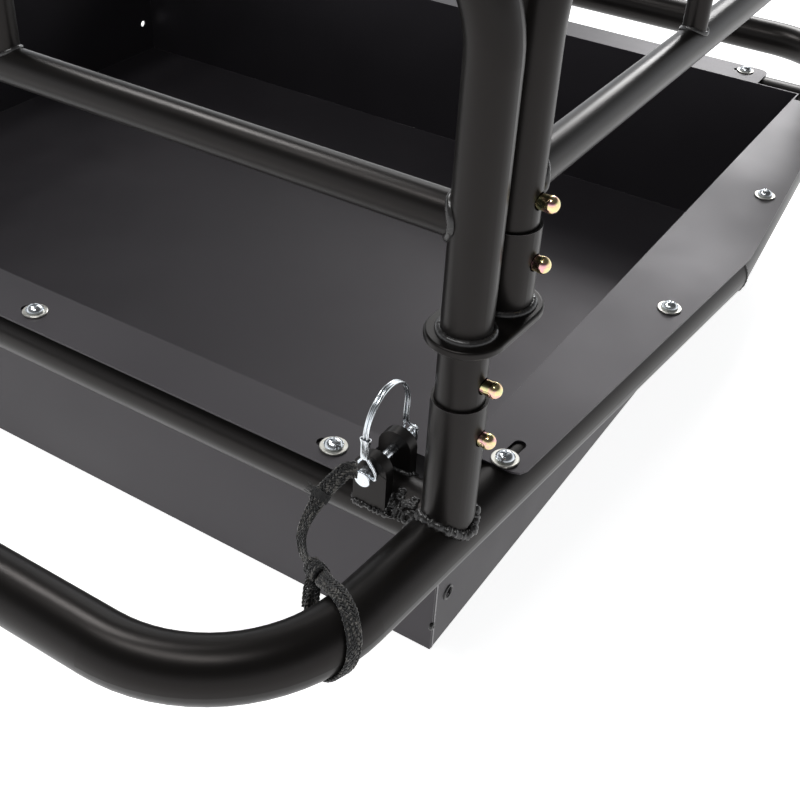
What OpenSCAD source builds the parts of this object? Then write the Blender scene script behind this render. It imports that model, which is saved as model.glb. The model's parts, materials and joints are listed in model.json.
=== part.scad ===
// Folding luggage rack: a drop tray hung in a bent tube ring, with four plug-in
// gates held by double-button spring clips, and a wire-lock pin at each near corner.
// +X is the rack's right, +Y runs from the near loop to the far loop, +Z is up.
// The tray stands on z = 0 and the rack is centred on X = Y = 0.

/* [Frame ring] */
// Outside diameter of the frame ring and of the two cross tubes
frame_od = 38; // [32:0.5:45]
// Wall of the frame tubes
frame_wall = 1.8; // [1.2:0.1:3]
// Distance between the left and right corner sockets
socket_span_x = 940; // [800:10:1100]
// Distance between the near and far corner sockets
socket_span_y = 794; // [600:2:900]
// Angle at which each side tube spreads away from the Y axis
side_splay = 4.74; // [0:0.02:8]
// Centreline radius of the four loop corners
loop_radius = 101; // [70:1:150]
// Straight side tube between a corner socket and its loop corner
loop_lead = 85; // [60:1:120]
// How far a cross tube lies inside its pair of corner sockets
cross_inset = 6.5; // [0:0.5:20]

/* [Tray] */
// Sheet thickness of the tray
sheet = 1.5; // [1:0.1:3]
// Height of the ring's centreline above the tray's underside
frame_z = 148; // [100:1:200]
// Gap between a side wall and the line through the sockets
wall_inset_x = 19; // [15:0.5:40]
// Gap between an end wall and the line through the sockets
wall_inset_y = 31.5; // [25:0.5:50]
// How far an end flange reaches past the line through the sockets
end_flange_reach = 10; // [0:0.5:20]
// How far a side flange reaches past the side tube's centreline
side_flange_reach = 18.3; // [10:0.1:22]
// Start of an end flange, measured inward from a corner socket
end_flange_start = 64; // [40:1:90]
// Start of a side flange, measured inward from a corner socket
side_flange_start = 50; // [40:1:90]
// Diameter of the drain holes in the side walls
drain_d = 8; // [4:0.5:12]

/* [Fasteners] */
// Screw thread diameter
screw_d = 6; // [4:1:8]
// Pan head diameter
head_d = 12.5; // [9:0.5:16]
// Pan head height
head_h = 4.4; // [3:0.1:6]
// Washer diameter
washer_d = 17.8; // [12:0.1:20]
// Washer thickness
washer_t = 1.4; // [0.8:0.1:2]
// Width of the adjusting slots in the flanges
slot_w = 8.6; // [6:0.1:10]
// First end screw, measured inward from a corner socket
end_screw_x = 86; // [70:1:120]
// First side screw, measured inward from a corner socket
side_screw_y = 58; // [50:1:90]

/* [Gates] */
// Outside diameter of the gate posts and hoops
post_od = 28; // [22:0.5:32]
// Outside diameter of the corner sockets and of the sleeves
socket_od = 32; // [26:0.5:38]
// Radial gap between a post and its socket
post_gap = 0.35; // [0.1:0.05:1]
// Outside diameter of the lower rails
rail_od = 23; // [16:0.5:28]
// Outside diameter of the spindles
spindle_od = 16; // [10:1:20]
// Wall of the gate tubes
gate_wall = 1.5; // [1:0.1:2.5]
// Rim of a corner socket above the ring's centreline
socket_top = 102; // [60:1:140]
// Underside of a post plate above the ring's centreline
plate_z = 141; // [110:1:180]
// Thickness of a post plate
plate_t = 5; // [3:0.5:8]
// End radius of a post plate
plate_r = 22.6; // [20:0.1:30]
// Distance from an end gate's post to the side gate's post
post_pitch = 37.3; // [32:0.1:50]
// How far the side gate's post stands outside the end gate's post
post_shift = 1.7; // [0:0.1:5]
// Rim of a sleeve above the ring's centreline
sleeve_top = 194; // [160:1:240]
// End gate rail above the ring's centreline
end_rail_z = 208.5; // [180:0.5:260]
// Side gate rail above the ring's centreline
side_rail_z = 217; // [180:0.5:260]
// Centreline of a hoop's top bar above the ring's centreline
hoop_z = 360; // [300:1:420]
// Centreline radius of a hoop's corners
hoop_radius = 70; // [50:1:120]

/* [Button clips] */
// Diameter of a snap button
button_d = 9.6; // [6:0.1:12]
// Distance from the post's centreline to a button's tip
button_reach = 24.6; // [20:0.1:30]
// Distance between the two buttons of a clip
button_pitch = 35; // [25:0.5:50]
// Locking button of an end gate above the ring's centreline
end_button_z = 80; // [50:0.5:95]
// Locking button of a side gate above the ring's centreline
side_button_z = 174.5; // [160:0.5:190]
// Width of the spring strip
strip_w = 8; // [5:0.5:10]
// Thickness of the spring strip
strip_t = 0.8; // [0.5:0.1:1.2]

/* [Lock pins] */
// Pin centreline, measured inward from a corner socket
pin_x = 47; // [40:0.5:70]
// Pin centreline above the ring's centreline
pin_z = 33.5; // [28:0.5:45]
// Shank diameter of a lock pin
pin_d = 6.4; // [5:0.1:10]
// Head diameter of a lock pin
pin_head_d = 9.6; // [8:0.1:14]
// Thickness of a lug
lug_t = 8; // [4:0.5:10]
// Width of a lug
lug_w = 23; // [16:0.5:30]
// Half the gap between the two lugs of a pair
lug_gap = 9.5; // [6:0.5:15]
// Middle of a pair of lugs, measured inward from a corner socket
lug_inset = 4.5; // [0:0.5:12]
// Length of a lock pin's head
pin_head_l = 8; // [5:0.5:12]
// How far a lock pin stands past the far lug
pin_tip = 16; // [10:0.5:20]
// Wire diameter of a bail
wire_d = 2; // [1.5:0.1:3]
// Width of the flat lanyard
lace_w = 9; // [6:0.5:12]

/* [Hidden] */
$fn = 72;
eps = 0.01;
frame_r = frame_od / 2;
frame_ri = frame_r - frame_wall;
post_r = post_od / 2;
post_ri = post_r - gate_wall;
socket_r = socket_od / 2;
socket_ri = post_r + post_gap;
rail_r = rail_od / 2;
spindle_r = spindle_od / 2;
corner_x = socket_span_x / 2;
corner_y = socket_span_y / 2;
cross_y = corner_y - cross_inset;
wall_x = corner_x - wall_inset_x;
wall_y = corner_y - wall_inset_y;
flange_z = frame_z + frame_r;
flange_top = flange_z + sheet;
// The side tube's centreline at a given distance from the middle of the side
function side_x(y) = corner_x + (corner_y - abs(y)) * tan(side_splay);
// Loop corner: the side tube turns to run along the end bar
bend_x = corner_x - loop_lead * sin(side_splay) - loop_radius * cos(side_splay);
bend_y = corner_y + loop_lead * cos(side_splay) - loop_radius * sin(side_splay);
bar_y = bend_y + loop_radius;
leg_length = corner_y / cos(side_splay) + loop_lead;
side_post_x = corner_x + post_shift;
side_post_y = corner_y - post_pitch;
plate_turn = atan2(post_shift, post_pitch);
plate_length = norm([post_shift, post_pitch]);
post_foot = frame_z + frame_r + 0.6;
sleeve_foot = frame_z + plate_z + plate_t;
side_foot = sleeve_foot + 0.2;
strip_x = 8.6;
leaf_drop = 12;
leaf_rise = 8;
end_screws = [for (k = [-1, -1/3, 1/3, 1]) k * (corner_x - end_screw_x)];
side_screws = [for (k = [-1, -1/3, 1/3, 1]) k * (corner_y - side_screw_y)];
screw_out = 2;
spindle_end_x = 150;
spindle_side_y = 115;
lug_y = -corner_y + lug_inset;
pin_front = lug_y - lug_gap - lug_t;
pin_back = lug_y + lug_gap + lug_t;

// ---------- building blocks ----------

// A straight tube that runs up from the origin
module tube(length, ro, ri) {
    difference() {
        cylinder(r = ro, h = length);
        translate([0, 0, -1]) cylinder(r = ri, h = length + 2);
    }
}

// A bent tube that turns about the Z axis from the +X axis
module bend(radius, turn, ro, ri) {
    rotate_extrude(angle = turn, $fn = 96) translate([radius, 0]) difference() {
        circle(r = ro, $fn = 48);
        circle(r = ri, $fn = 48);
    }
}

// Draws its children on the right and mirrored on the left
module two_sides() {
    for (mx = [0, 1]) mirror([mx, 0, 0]) children();
}

// A solid rod along the near right side tube's centreline
module side_rod(r) {
    translate([side_x(bar_y), -bar_y, frame_z]) rotate([0, 0, -side_splay])
        rotate([-90, 0, 0]) cylinder(r = r, h = leg_length + 60);
}

// ---------- frame ----------

// The ring is two bent U-tubes, mitred and welded together halfway along each side
module loop_tube(ro, ri) {
    two_sides() {
        translate([corner_x - loop_lead * sin(side_splay), -corner_y - loop_lead * cos(side_splay), frame_z])
            rotate([0, 0, -side_splay]) rotate([-90, 0, 0]) tube(leg_length + 10, ro, ri);
        translate([bend_x, -bend_y, frame_z]) rotate([0, 0, -90]) bend(loop_radius, 90 - side_splay, ro, ri);
    }
    translate([-bend_x, -bar_y, frame_z]) rotate([0, 90, 0]) tube(2 * bend_x, ro, ri);
}

module screw_places() {
    for (x = end_screws, s = [-1, 1]) translate([x, s * cross_y, 0]) children();
    for (y = side_screws, s = [-1, 1]) translate([s * (side_x(y) + screw_out), y, 0]) children();
}

module near_loop() color("#1b1b1d") difference() {
    loop_tube(frame_r, frame_ri);
    translate([-socket_span_x, 0, 0]) cube([2 * socket_span_x, 100, 2 * frame_z]);
    for (y = side_screws, s = [-1, 1]) if (y < 0) translate([s * (side_x(y) + screw_out), y, frame_z + 8])
        cylinder(d = 9.2, h = 20, $fn = 32);
    // Drain hole under the end bar
    translate([0, -bar_y, frame_z - 25]) cylinder(d = 6, h = 20, $fn = 32);
}
module far_loop() mirror([0, 1, 0]) near_loop();

module cross_tube() color("#1b1b1d") difference() {
    translate([-side_x(cross_y), -cross_y, frame_z]) rotate([0, 90, 0])
        tube(2 * side_x(cross_y), frame_r, frame_ri);
    two_sides() side_rod(frame_r);
    for (x = end_screws) translate([x, -cross_y, frame_z + 8]) cylinder(d = 9.2, h = 20, $fn = 32);
}
module near_cross_tube() cross_tube();
module far_cross_tube() mirror([0, 1, 0]) cross_tube();

// A corner socket, coped onto the side and cross tubes, with the lock hole facing outward
module corner_socket() color("#1b1b1d") difference() {
    translate([corner_x, -corner_y, frame_z]) tube(socket_top, socket_r, socket_ri);
    side_rod(frame_r);
    translate([0, -cross_y, frame_z]) rotate([0, 90, 0]) cylinder(r = frame_r, h = 2 * corner_x);
    translate([corner_x, -corner_y, frame_z + end_button_z]) rotate([0, 90, 0])
        cylinder(d = button_d + 0.5, h = socket_r + 4, $fn = 36);
}
module near_right_socket() corner_socket();
module near_left_socket() mirror([1, 0, 0]) corner_socket();
module far_right_socket() mirror([0, 1, 0]) corner_socket();
module far_left_socket() mirror([1, 0, 0]) mirror([0, 1, 0]) corner_socket();

// ---------- tray ----------

module end_flange() {
    half = corner_x - end_flange_start;
    round_r = 11;
    near = -corner_y - end_flange_reach;
    translate([0, 0, flange_z]) difference() {
        union() {
            translate([-half, near + round_r, 0]) cube([2 * half, -wall_y - near - round_r + sheet, sheet]);
            translate([-half + round_r, near, 0]) cube([2 * (half - round_r), round_r + 1, sheet]);
            for (s = [-1, 1]) translate([s * (half - round_r), near + round_r, 0]) cylinder(r = round_r, h = sheet);
        }
        for (x = end_screws) slot(x - sign(x) * 4, -cross_y, 8, 0);
    }
}

// A slot cut through a flange: centre, length between the round ends, turn
module slot(x, y, length, turn) {
    translate([x, y, -1]) rotate([0, 0, turn]) {
        translate([-length / 2, -slot_w / 2, 0]) cube([length, slot_w, sheet + 2]);
        for (s = [-1, 1]) translate([s * length / 2, 0, 0]) cylinder(d = slot_w, h = sheet + 2, $fn = 40);
    }
}

module side_flange() {
    start = corner_y - side_flange_start;
    reach = side_flange_reach / cos(side_splay);
    tip = 7;
    translate([0, 0, flange_z]) difference() {
        linear_extrude(sheet) for (m = [0, 1]) mirror([0, m]) polygon([
            [wall_x - sheet, -start], [side_x(start) + reach - tip, -start],
            [side_x(start) + reach - 2, -start + 2], [side_x(start - tip) + reach, -start + tip],
            [side_x(0) + reach, 0], [wall_x - sheet, 0]]);
        for (y = side_screws) let (outer = abs(y) > corner_y / 2)
            slot(side_x(y) + screw_out, y - sign(y) * (outer ? 9 : 0), outer ? 18 : 8, 90 + sign(y) * side_splay);
    }
}

module tray() color("#2b2b2f") difference() {
    union() {
        difference() {
            translate([-wall_x, -wall_y, 0]) cube([2 * wall_x, 2 * wall_y, flange_top]);
            translate([-wall_x + sheet, -wall_y + sheet, sheet])
                cube([2 * (wall_x - sheet), 2 * (wall_y - sheet), flange_top]);
        }
        for (my = [0, 1]) mirror([0, my, 0]) end_flange();
        two_sides() side_flange();
    }
    for (s = [-1, 1]) translate([-wall_x - 5, s * (corner_y - 51), frame_z - 107])
        rotate([0, 90, 0]) cylinder(d = drain_d, h = 2 * wall_x + 10, $fn = 32);
}

module rivet_nuts() color("#b9a25a") screw_places() translate([0, 0, flange_z - 14]) difference() {
    cylinder(d = 9, h = 13.6, $fn = 32);
    translate([0, 0, -1]) cylinder(d = screw_d + 0.1, h = 20, $fn = 32);
}

module tray_washers() color("#d5d8da") screw_places() translate([0, 0, flange_top]) difference() {
    cylinder(d = washer_d, h = washer_t);
    translate([0, 0, -1]) cylinder(d = screw_d + 0.5, h = washer_t + 2, $fn = 32);
}

// A pan head screw: domed head, cross recess and shank
module tray_screws() color("#d5d8da") screw_places() translate([0, 0, flange_top + washer_t]) difference() {
    union() {
        rotate_extrude() intersection() {
            translate([0, head_h - 14]) circle(r = 14, $fn = 96);
            square([head_d / 2, head_h]);
        }
        translate([0, 0, -14]) cylinder(d = screw_d, h = 14 + eps, $fn = 32);
    }
    for (a = [45, 135]) rotate([0, 0, a]) translate([-3.4, -0.7, head_h - 2.2]) cube([6.8, 1.4, 4]);
}

// ---------- lugs, lock pins and lanyards ----------

// Two round-topped lugs that straddle the near cross tube's crown
module lug_pair() color("#1b1b1d") difference() {
    for (y = [pin_front, lug_y + lug_gap]) translate([corner_x - pin_x, y, 0]) {
        translate([0, 0, frame_z + pin_z]) rotate([-90, 0, 0]) cylinder(d = lug_w, h = lug_t);
        translate([-lug_w / 2, 0, frame_z]) cube([lug_w, lug_t, pin_z]);
    }
    translate([0, -cross_y, frame_z]) rotate([0, 90, 0]) cylinder(r = frame_r, h = corner_x + 10);
    translate([corner_x - pin_x, pin_front - 1, frame_z + pin_z]) rotate([-90, 0, 0])
        cylinder(d = pin_d + 0.16, h = pin_back - pin_front + 2, $fn = 40);
    // Each lug stops level with the tube's shoulder
    translate([0, -corner_y - 60, frame_z - 1]) cube([corner_x, 120, 7]);
}
module right_lugs() lug_pair();
module left_lugs() mirror([1, 0, 0]) lug_pair();

head_y = pin_front - 0.6 - pin_head_l;
wire_hole_y = head_y + 4;
tip_y = pin_back + pin_tip;

// Lock pin: a cut-off head with a cross hole for the wire, a shank and a rounded tip
module lock_pin() color("#e4e6e8") translate([corner_x - pin_x, 0, frame_z + pin_z]) difference() {
    translate([0, head_y, 0]) rotate([-90, 0, 0]) rotate_extrude($fn = 48) polygon([
        [0, 0], [pin_head_d / 2 - 0.5, 0], [pin_head_d / 2, 0.5], [pin_head_d / 2, pin_head_l],
        [pin_d / 2, pin_head_l], [pin_d / 2, tip_y - head_y - 1.6],
        [pin_d / 2 - 1.2, tip_y - head_y], [0, tip_y - head_y]]);
    translate([-10, wire_hole_y, 0]) rotate([0, 90, 0]) cylinder(d = wire_d + 0.3, h = 20, $fn = 32);
}
module right_lock_pin() lock_pin();
module left_lock_pin() mirror([1, 0, 0]) lock_pin();

// Bail: two wires that leave the head's cross hole, run side by side over the lugs
// and part again to straddle the pin's tip
wire_r = wire_d / 2;
head_leg = pin_head_d / 2 + wire_r + 0.6;
tip_leg = pin_d / 2 + wire_r + 0.5;
prong_y = pin_back + 9.5;
arch_y = lug_y - 0.9;
arch_half = 22.6;
arch_z = 28.7;
arch_rise = 24;
ferrule_l = 14;
function arch(t, x) = [x, arch_y - arch_half * cos(t), arch_z + arch_rise * sin(t)];
function bail_points(s) = [
    [s * 1.3, wire_hole_y, 0], [s * head_leg, wire_hole_y, 0],
    [s * head_leg, wire_hole_y - 0.3, 5], [s * wire_r * 1.05, arch_y - arch_half, arch_z - ferrule_l],
    for (t = [0 : 7.5 : 180]) arch(t, s * wire_r * 1.05),
    [s * wire_r * 1.05, arch_y + arch_half, 15], [s * tip_leg, prong_y, 4], [s * tip_leg, prong_y, -3]];

module pin_bail() color("#e4e6e8") translate([corner_x - pin_x, 0, frame_z + pin_z])
    for (s = [-1, 1]) cord_tube(bail_points(s), wire_r, 12, [0.2, -1, -0.6]);
module right_pin_bail() pin_bail();
module left_pin_bail() mirror([1, 0, 0]) pin_bail();

// Ferrule: the crimped sleeve that holds the two wires together
module pin_ferrule() color("#e4e6e8")
    translate([corner_x - pin_x, arch_y - arch_half, frame_z + pin_z + arch_z - ferrule_l]) difference() {
        cylinder(r = 2 * wire_r + 0.9, h = ferrule_l, $fn = 32);
        for (s = [-1, 1]) translate([s * wire_r * 1.05, 0, -1]) cylinder(r = wire_r + 0.02, h = ferrule_l + 2, $fn = 20);
    }
module right_pin_ferrule() pin_ferrule();
module left_pin_ferrule() mirror([1, 0, 0]) pin_ferrule();

// A point on a circle of radius r around the ring's centreline: s is the distance
// from the corner socket towards the loop, and a is 0 on the outside and 90 on top
function ring_point(s, a, r) = s < loop_lead
    ? [corner_x - s * sin(side_splay) + r * cos(a) * cos(side_splay),
       -corner_y - s * cos(side_splay) - r * cos(a) * sin(side_splay), frame_z + r * sin(a)]
    : let (f = side_splay + (s - loop_lead) / loop_radius * 180 / PI, q = loop_radius + r * cos(a))
      [bend_x + q * cos(f), -bend_y - q * sin(f), frame_z + r * sin(a)];

// The lanyard hangs from the bail's foot, comes back to the ring, is knotted and
// loops once around the tube
lace_r = 1.3;
lace_hang = [
    [-47, -27, 45], [-51, -32, 46], [-54, -37, 42], [-58, -43, 35], [-60, -50, 28],
    [-61, -57, 21], [-60, -63, 15], [-56, -68, 11], [-50, -72, 8], [-43, -75, 8], [-37, -78, 10]];
lace_loop = [
    [90, 138, 26], [94, 108, 22], [98, 76, 20.6], [102, 48, 20.6], [105, 20, 20.6], [108, -8, 20.6],
    [111, -36, 20.6], [113, -65, 20.6], [113, -95, 20.6], [111, -125, 20.6], [107, -150, 20.8],
    [102, -168, 22], [97, -182, 25], [91, -190, 29]];
lace_points = concat(
    [for (p = lace_hang) p + [corner_x, -corner_y, frame_z]],
    [for (p = lace_loop) ring_point(p[0], p[1], p[2])]);
lace_steps = 3;
function spline(p, i, u) =
    let (a = p[max(i - 1, 0)], b = p[i], c = p[min(i + 1, len(p) - 1)], d = p[min(i + 2, len(p) - 1)])
    0.5 * (2 * b + (c - a) * u + (2 * a - 5 * b + 4 * c - d) * u * u + (3 * b - a - 3 * c + d) * u * u * u);
lace_route = [
    for (i = [0 : len(lace_points) - 2], k = [0 : lace_steps - 1]) spline(lace_points, i, k / lace_steps),
    lace_points[len(lace_points) - 1]];

module cord_tube(route, r, sides, side_ref) {
    n = len(route);
    function unit(v) = v / norm(v);
    rings = [for (i = [0 : n - 1])
        let (t = unit(route[min(i + 1, n - 1)] - route[max(i - 1, 0)]),
             u = unit(cross(t, side_ref)), w = cross(t, u))
        for (k = [0 : sides - 1]) route[i] + r * (cos(360 * k / sides) * u + sin(360 * k / sides) * w)];
    polyhedron(points = rings, faces = concat(
        [[for (k = [0 : sides - 1]) k]],
        [for (i = [0 : n - 2], k = [0 : sides - 1])
            let (a = i * sides + k, b = i * sides + (k + 1) % sides)
            each [[a, a + sides, b + sides], [a, b + sides, b]]],
        [[for (k = [sides - 1 : -1 : 0]) (n - 1) * sides + k]]));
}

module lanyard() color("#151515") {
    cord_tube(lace_route, lace_r, 8, [0.4, 0.9, 0]);
    translate(lace_points[len(lace_hang) - 2] + [1, -1, 0]) sphere(r = 7, $fn = 16);
}
module right_lanyard() lanyard();
module left_lanyard() mirror([1, 0, 0]) lanyard();

// ---------- gates ----------

// A hoop in the XZ plane: two posts joined by a top bar with rounded corners
module hoop(half, foot, ro, ri) {
    top = frame_z + hoop_z;
    two_sides() {
        translate([half, 0, foot]) tube(top - hoop_radius - foot, ro, ri);
        translate([half - hoop_radius, 0, top - hoop_radius]) rotate([90, 0, 0]) bend(hoop_radius, 90, ro, ri);
        translate([0, 0, top]) rotate([0, 90, 0]) tube(half - hoop_radius, ro, ri);
    }
}

// Holes for the two buttons of a clip, on the +X side of a post
module button_holes(lock_z) {
    for (z = [lock_z, lock_z + button_pitch]) translate([0, 0, frame_z + z]) rotate([0, 90, 0])
        cylinder(d = button_d + 0.5, h = post_r + 6, $fn = 36);
}

module gate_rail(half, z) {
    difference() {
        translate([-half, 0, frame_z + z]) rotate([0, 90, 0]) tube(2 * half, rail_r, rail_r - gate_wall);
        two_sides() translate([half, 0, frame_z]) cylinder(r = post_r, h = hoop_z);
    }
}

module gate_spindles(at, rail_z) {
    difference() {
        for (s = [-1, 1]) translate([s * at, 0, frame_z + rail_z]) tube(hoop_z - rail_z, spindle_r, spindle_r - gate_wall);
        translate([-at - 40, 0, frame_z + rail_z]) rotate([0, 90, 0]) cylinder(r = rail_r, h = 2 * at + 80);
        translate([-at - 40, 0, frame_z + hoop_z]) rotate([0, 90, 0]) cylinder(r = post_r, h = 2 * at + 80);
    }
}

// End gates
module end_hoop() color("#1b1b1d") translate([0, -corner_y, 0]) difference() {
    hoop(corner_x, post_foot, post_r, post_ri);
    two_sides() translate([corner_x, 0, 0]) button_holes(end_button_z);
}
module end_rail() color("#1b1b1d") translate([0, -corner_y, 0]) gate_rail(corner_x, end_rail_z);
module end_spindles() color("#1b1b1d") translate([0, -corner_y, 0]) gate_spindles(spindle_end_x, end_rail_z);

// Obround plate with rounded edges, welded around the end gate's post
module plate_profile() {
    round_r = 1.6;
    square([plate_r - round_r, plate_t]);
    translate([0, round_r]) square([plate_r, plate_t - 2 * round_r]);
    for (z = [round_r, plate_t - round_r]) translate([plate_r - round_r, z]) circle(r = round_r, $fn = 24);
}
module end_plates() color("#1b1b1d") two_sides()
    translate([corner_x, -corner_y, frame_z + plate_z]) difference() {
        rotate([0, 0, -plate_turn]) union() {
            rotate_extrude() plate_profile();
            translate([0, plate_length, 0]) rotate_extrude() plate_profile();
            translate([0, plate_length, 0]) rotate([90, 0, 0]) linear_extrude(plate_length)
                for (m = [0, 1]) mirror([m, 0]) plate_profile();
        }
        translate([0, 0, -1]) cylinder(r = post_r, h = plate_t + 2);
    }

// Sleeves that stand on the plates and take the side gates' posts
module end_sleeves() color("#1b1b1d") two_sides()
    translate([side_post_x, -side_post_y, 0]) difference() {
        translate([0, 0, sleeve_foot]) tube(frame_z + sleeve_top - sleeve_foot, socket_r, socket_ri);
        translate([0, 0, frame_z + side_button_z]) rotate([0, 90, 0])
            cylinder(d = button_d + 0.5, h = socket_r + 4, $fn = 36);
    }

module near_gate_hoop() end_hoop();
module near_gate_rail() end_rail();
module near_gate_spindles() end_spindles();
module near_gate_plates() end_plates();
module near_gate_sleeves() end_sleeves();
module far_gate_hoop() mirror([0, 1, 0]) end_hoop();
module far_gate_rail() mirror([0, 1, 0]) end_rail();
module far_gate_spindles() mirror([0, 1, 0]) end_spindles();
module far_gate_plates() mirror([0, 1, 0]) end_plates();
module far_gate_sleeves() mirror([0, 1, 0]) end_sleeves();

// Side gates, drawn along Y on the right
module side_hoop() color("#1b1b1d") translate([side_post_x, 0, 0]) difference() {
    rotate([0, 0, 90]) hoop(side_post_y, side_foot, post_r, post_ri);
    for (s = [-1, 1]) translate([0, s * side_post_y, 0]) button_holes(side_button_z);
}
module side_rail() color("#1b1b1d") translate([side_post_x, 0, 0]) rotate([0, 0, 90]) gate_rail(side_post_y, side_rail_z);
module side_spindles() color("#1b1b1d") translate([side_post_x, 0, 0]) rotate([0, 0, 90])
    gate_spindles(spindle_side_y, side_rail_z);
module right_gate_hoop() side_hoop();
module right_gate_rail() side_rail();
module right_gate_spindles() side_spindles();
module left_gate_hoop() mirror([1, 0, 0]) side_hoop();
module left_gate_rail() mirror([1, 0, 0]) side_rail();
module left_gate_spindles() mirror([1, 0, 0]) side_spindles();

// ---------- double-button clips ----------

// The pressed part: two domed buttons on a flat strip
module clip_buttons(z) color("#cdb468") translate([0, 0, frame_z + z]) {
    translate([strip_x - strip_t, -strip_w / 2, -leaf_drop]) cube([strip_t, strip_w, leaf_drop + button_pitch + leaf_rise]);
    for (b = [0, button_pitch]) translate([strip_x, 0, b]) rotate([0, 90, 0]) rotate_extrude($fn = 48) {
        straight = button_reach - button_d / 2 - strip_x;
        square([button_d / 2, straight]);
        translate([0, straight]) intersection() {
            circle(d = button_d, $fn = 64);
            translate([0, -0.01]) square(button_d);
        }
    }
}
// The spring leaf: a folded foot and a back leg that bears on the post's far wall
module clip_leaf(z) color("#cdb468") translate([0, 0, frame_z + z]) {
    back_x = -(post_ri - 1.4);
    fold_r = (strip_x - back_x) / 2;
    translate([(strip_x + back_x) / 2, 0, -leaf_drop]) rotate([90, 0, 0]) translate([0, 0, -strip_w / 2]) difference() {
        cylinder(r = fold_r, h = strip_w);
        translate([0, 0, -1]) cylinder(r = fold_r - strip_t, h = strip_w + 2);
        translate([-20, 0, -1]) cube([40, 40, strip_w + 2]);
    }
    translate([back_x, -strip_w / 2, -leaf_drop]) cube([strip_t, strip_w, leaf_drop + button_pitch + leaf_rise]);
}
module end_clip_at() translate([corner_x, -corner_y, 0]) children();
module side_clip_at() translate([side_post_x, -side_post_y, 0]) children();

module near_right_buttons() end_clip_at() clip_buttons(end_button_z);
module near_right_leaf() end_clip_at() clip_leaf(end_button_z);
module near_left_buttons() mirror([1, 0, 0]) near_right_buttons();
module near_left_leaf() mirror([1, 0, 0]) near_right_leaf();
module far_right_buttons() mirror([0, 1, 0]) near_right_buttons();
module far_right_leaf() mirror([0, 1, 0]) near_right_leaf();
module far_left_buttons() mirror([1, 0, 0]) far_right_buttons();
module far_left_leaf() mirror([1, 0, 0]) far_right_leaf();
module right_near_buttons() side_clip_at() clip_buttons(side_button_z);
module right_near_leaf() side_clip_at() clip_leaf(side_button_z);
module right_far_buttons() mirror([0, 1, 0]) right_near_buttons();
module right_far_leaf() mirror([0, 1, 0]) right_near_leaf();
module left_near_buttons() mirror([1, 0, 0]) right_near_buttons();
module left_near_leaf() mirror([1, 0, 0]) right_near_leaf();
module left_far_buttons() mirror([1, 0, 0]) right_far_buttons();
module left_far_leaf() mirror([1, 0, 0]) right_far_leaf();

near_loop();
far_loop();
near_cross_tube();
far_cross_tube();
near_right_socket();
near_left_socket();
far_right_socket();
far_left_socket();
tray();
rivet_nuts();
tray_washers();
tray_screws();
right_lugs();
left_lugs();
right_lock_pin();
left_lock_pin();
right_pin_bail();
left_pin_bail();
right_pin_ferrule();
left_pin_ferrule();
right_lanyard();
left_lanyard();
near_gate_hoop();
near_gate_rail();
near_gate_spindles();
near_gate_plates();
near_gate_sleeves();
far_gate_hoop();
far_gate_rail();
far_gate_spindles();
far_gate_plates();
far_gate_sleeves();
right_gate_hoop();
right_gate_rail();
right_gate_spindles();
left_gate_hoop();
left_gate_rail();
left_gate_spindles();
near_right_buttons();
near_right_leaf();
near_left_buttons();
near_left_leaf();
far_right_buttons();
far_right_leaf();
far_left_buttons();
far_left_leaf();
right_near_buttons();
right_near_leaf();
right_far_buttons();
right_far_leaf();
left_near_buttons();
left_near_leaf();
left_far_buttons();
left_far_leaf();
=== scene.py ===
# %% [markdown]
# # A drop-tray luggage rack
# The rack is a ring of bent tube with a sheet tray hung in it, fenced by four plug-in gates. The frame that
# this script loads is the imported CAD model: every tube, plate and hole already has its real size and place.
# Blender adds what CAD leaves out: weld beads, rolled edges, a braided lanyard, and the finishes.

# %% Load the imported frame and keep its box
import json
import math
import random

import bmesh
import bpy
from mathutils import Matrix, Vector


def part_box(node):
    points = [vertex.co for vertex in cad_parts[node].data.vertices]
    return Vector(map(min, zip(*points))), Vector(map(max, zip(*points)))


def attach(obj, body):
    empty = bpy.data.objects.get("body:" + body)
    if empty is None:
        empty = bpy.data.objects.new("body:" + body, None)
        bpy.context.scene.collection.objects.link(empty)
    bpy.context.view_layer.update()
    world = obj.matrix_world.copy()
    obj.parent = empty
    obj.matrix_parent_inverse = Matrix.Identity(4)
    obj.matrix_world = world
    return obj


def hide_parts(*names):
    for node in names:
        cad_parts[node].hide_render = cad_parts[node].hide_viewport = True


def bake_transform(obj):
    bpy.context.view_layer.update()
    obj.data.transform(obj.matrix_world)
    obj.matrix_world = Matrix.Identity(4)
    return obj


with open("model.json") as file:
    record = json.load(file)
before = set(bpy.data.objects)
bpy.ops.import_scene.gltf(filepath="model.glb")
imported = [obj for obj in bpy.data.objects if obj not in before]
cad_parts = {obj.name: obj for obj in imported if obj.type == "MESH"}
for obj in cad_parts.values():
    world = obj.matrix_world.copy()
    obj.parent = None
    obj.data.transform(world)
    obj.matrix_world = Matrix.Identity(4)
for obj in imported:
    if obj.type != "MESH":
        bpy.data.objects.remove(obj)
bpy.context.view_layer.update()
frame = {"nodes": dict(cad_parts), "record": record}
MM = 0.001

# %% [markdown]
# ## Places read from the frame
# A script that copies numbers from a drawing goes stale when the drawing changes. Here the ring, the corner
# and the pin are worked out from the box of a node, so the looks follow the CAD model; the side's splay and
# the bend of the loop are given numbers.


# %% Middle of a node, and the driving places
def corners(node):
    return [Vector(corner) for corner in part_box(node)]


def middle(node):
    low, high = corners(node)
    return (low + high) / 2


def span(node, axis):
    low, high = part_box(node)
    return high[axis] - low[axis]


def low(node, axis):
    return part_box(node)[0][axis]


def high(node, axis):
    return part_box(node)[1][axis]


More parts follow.
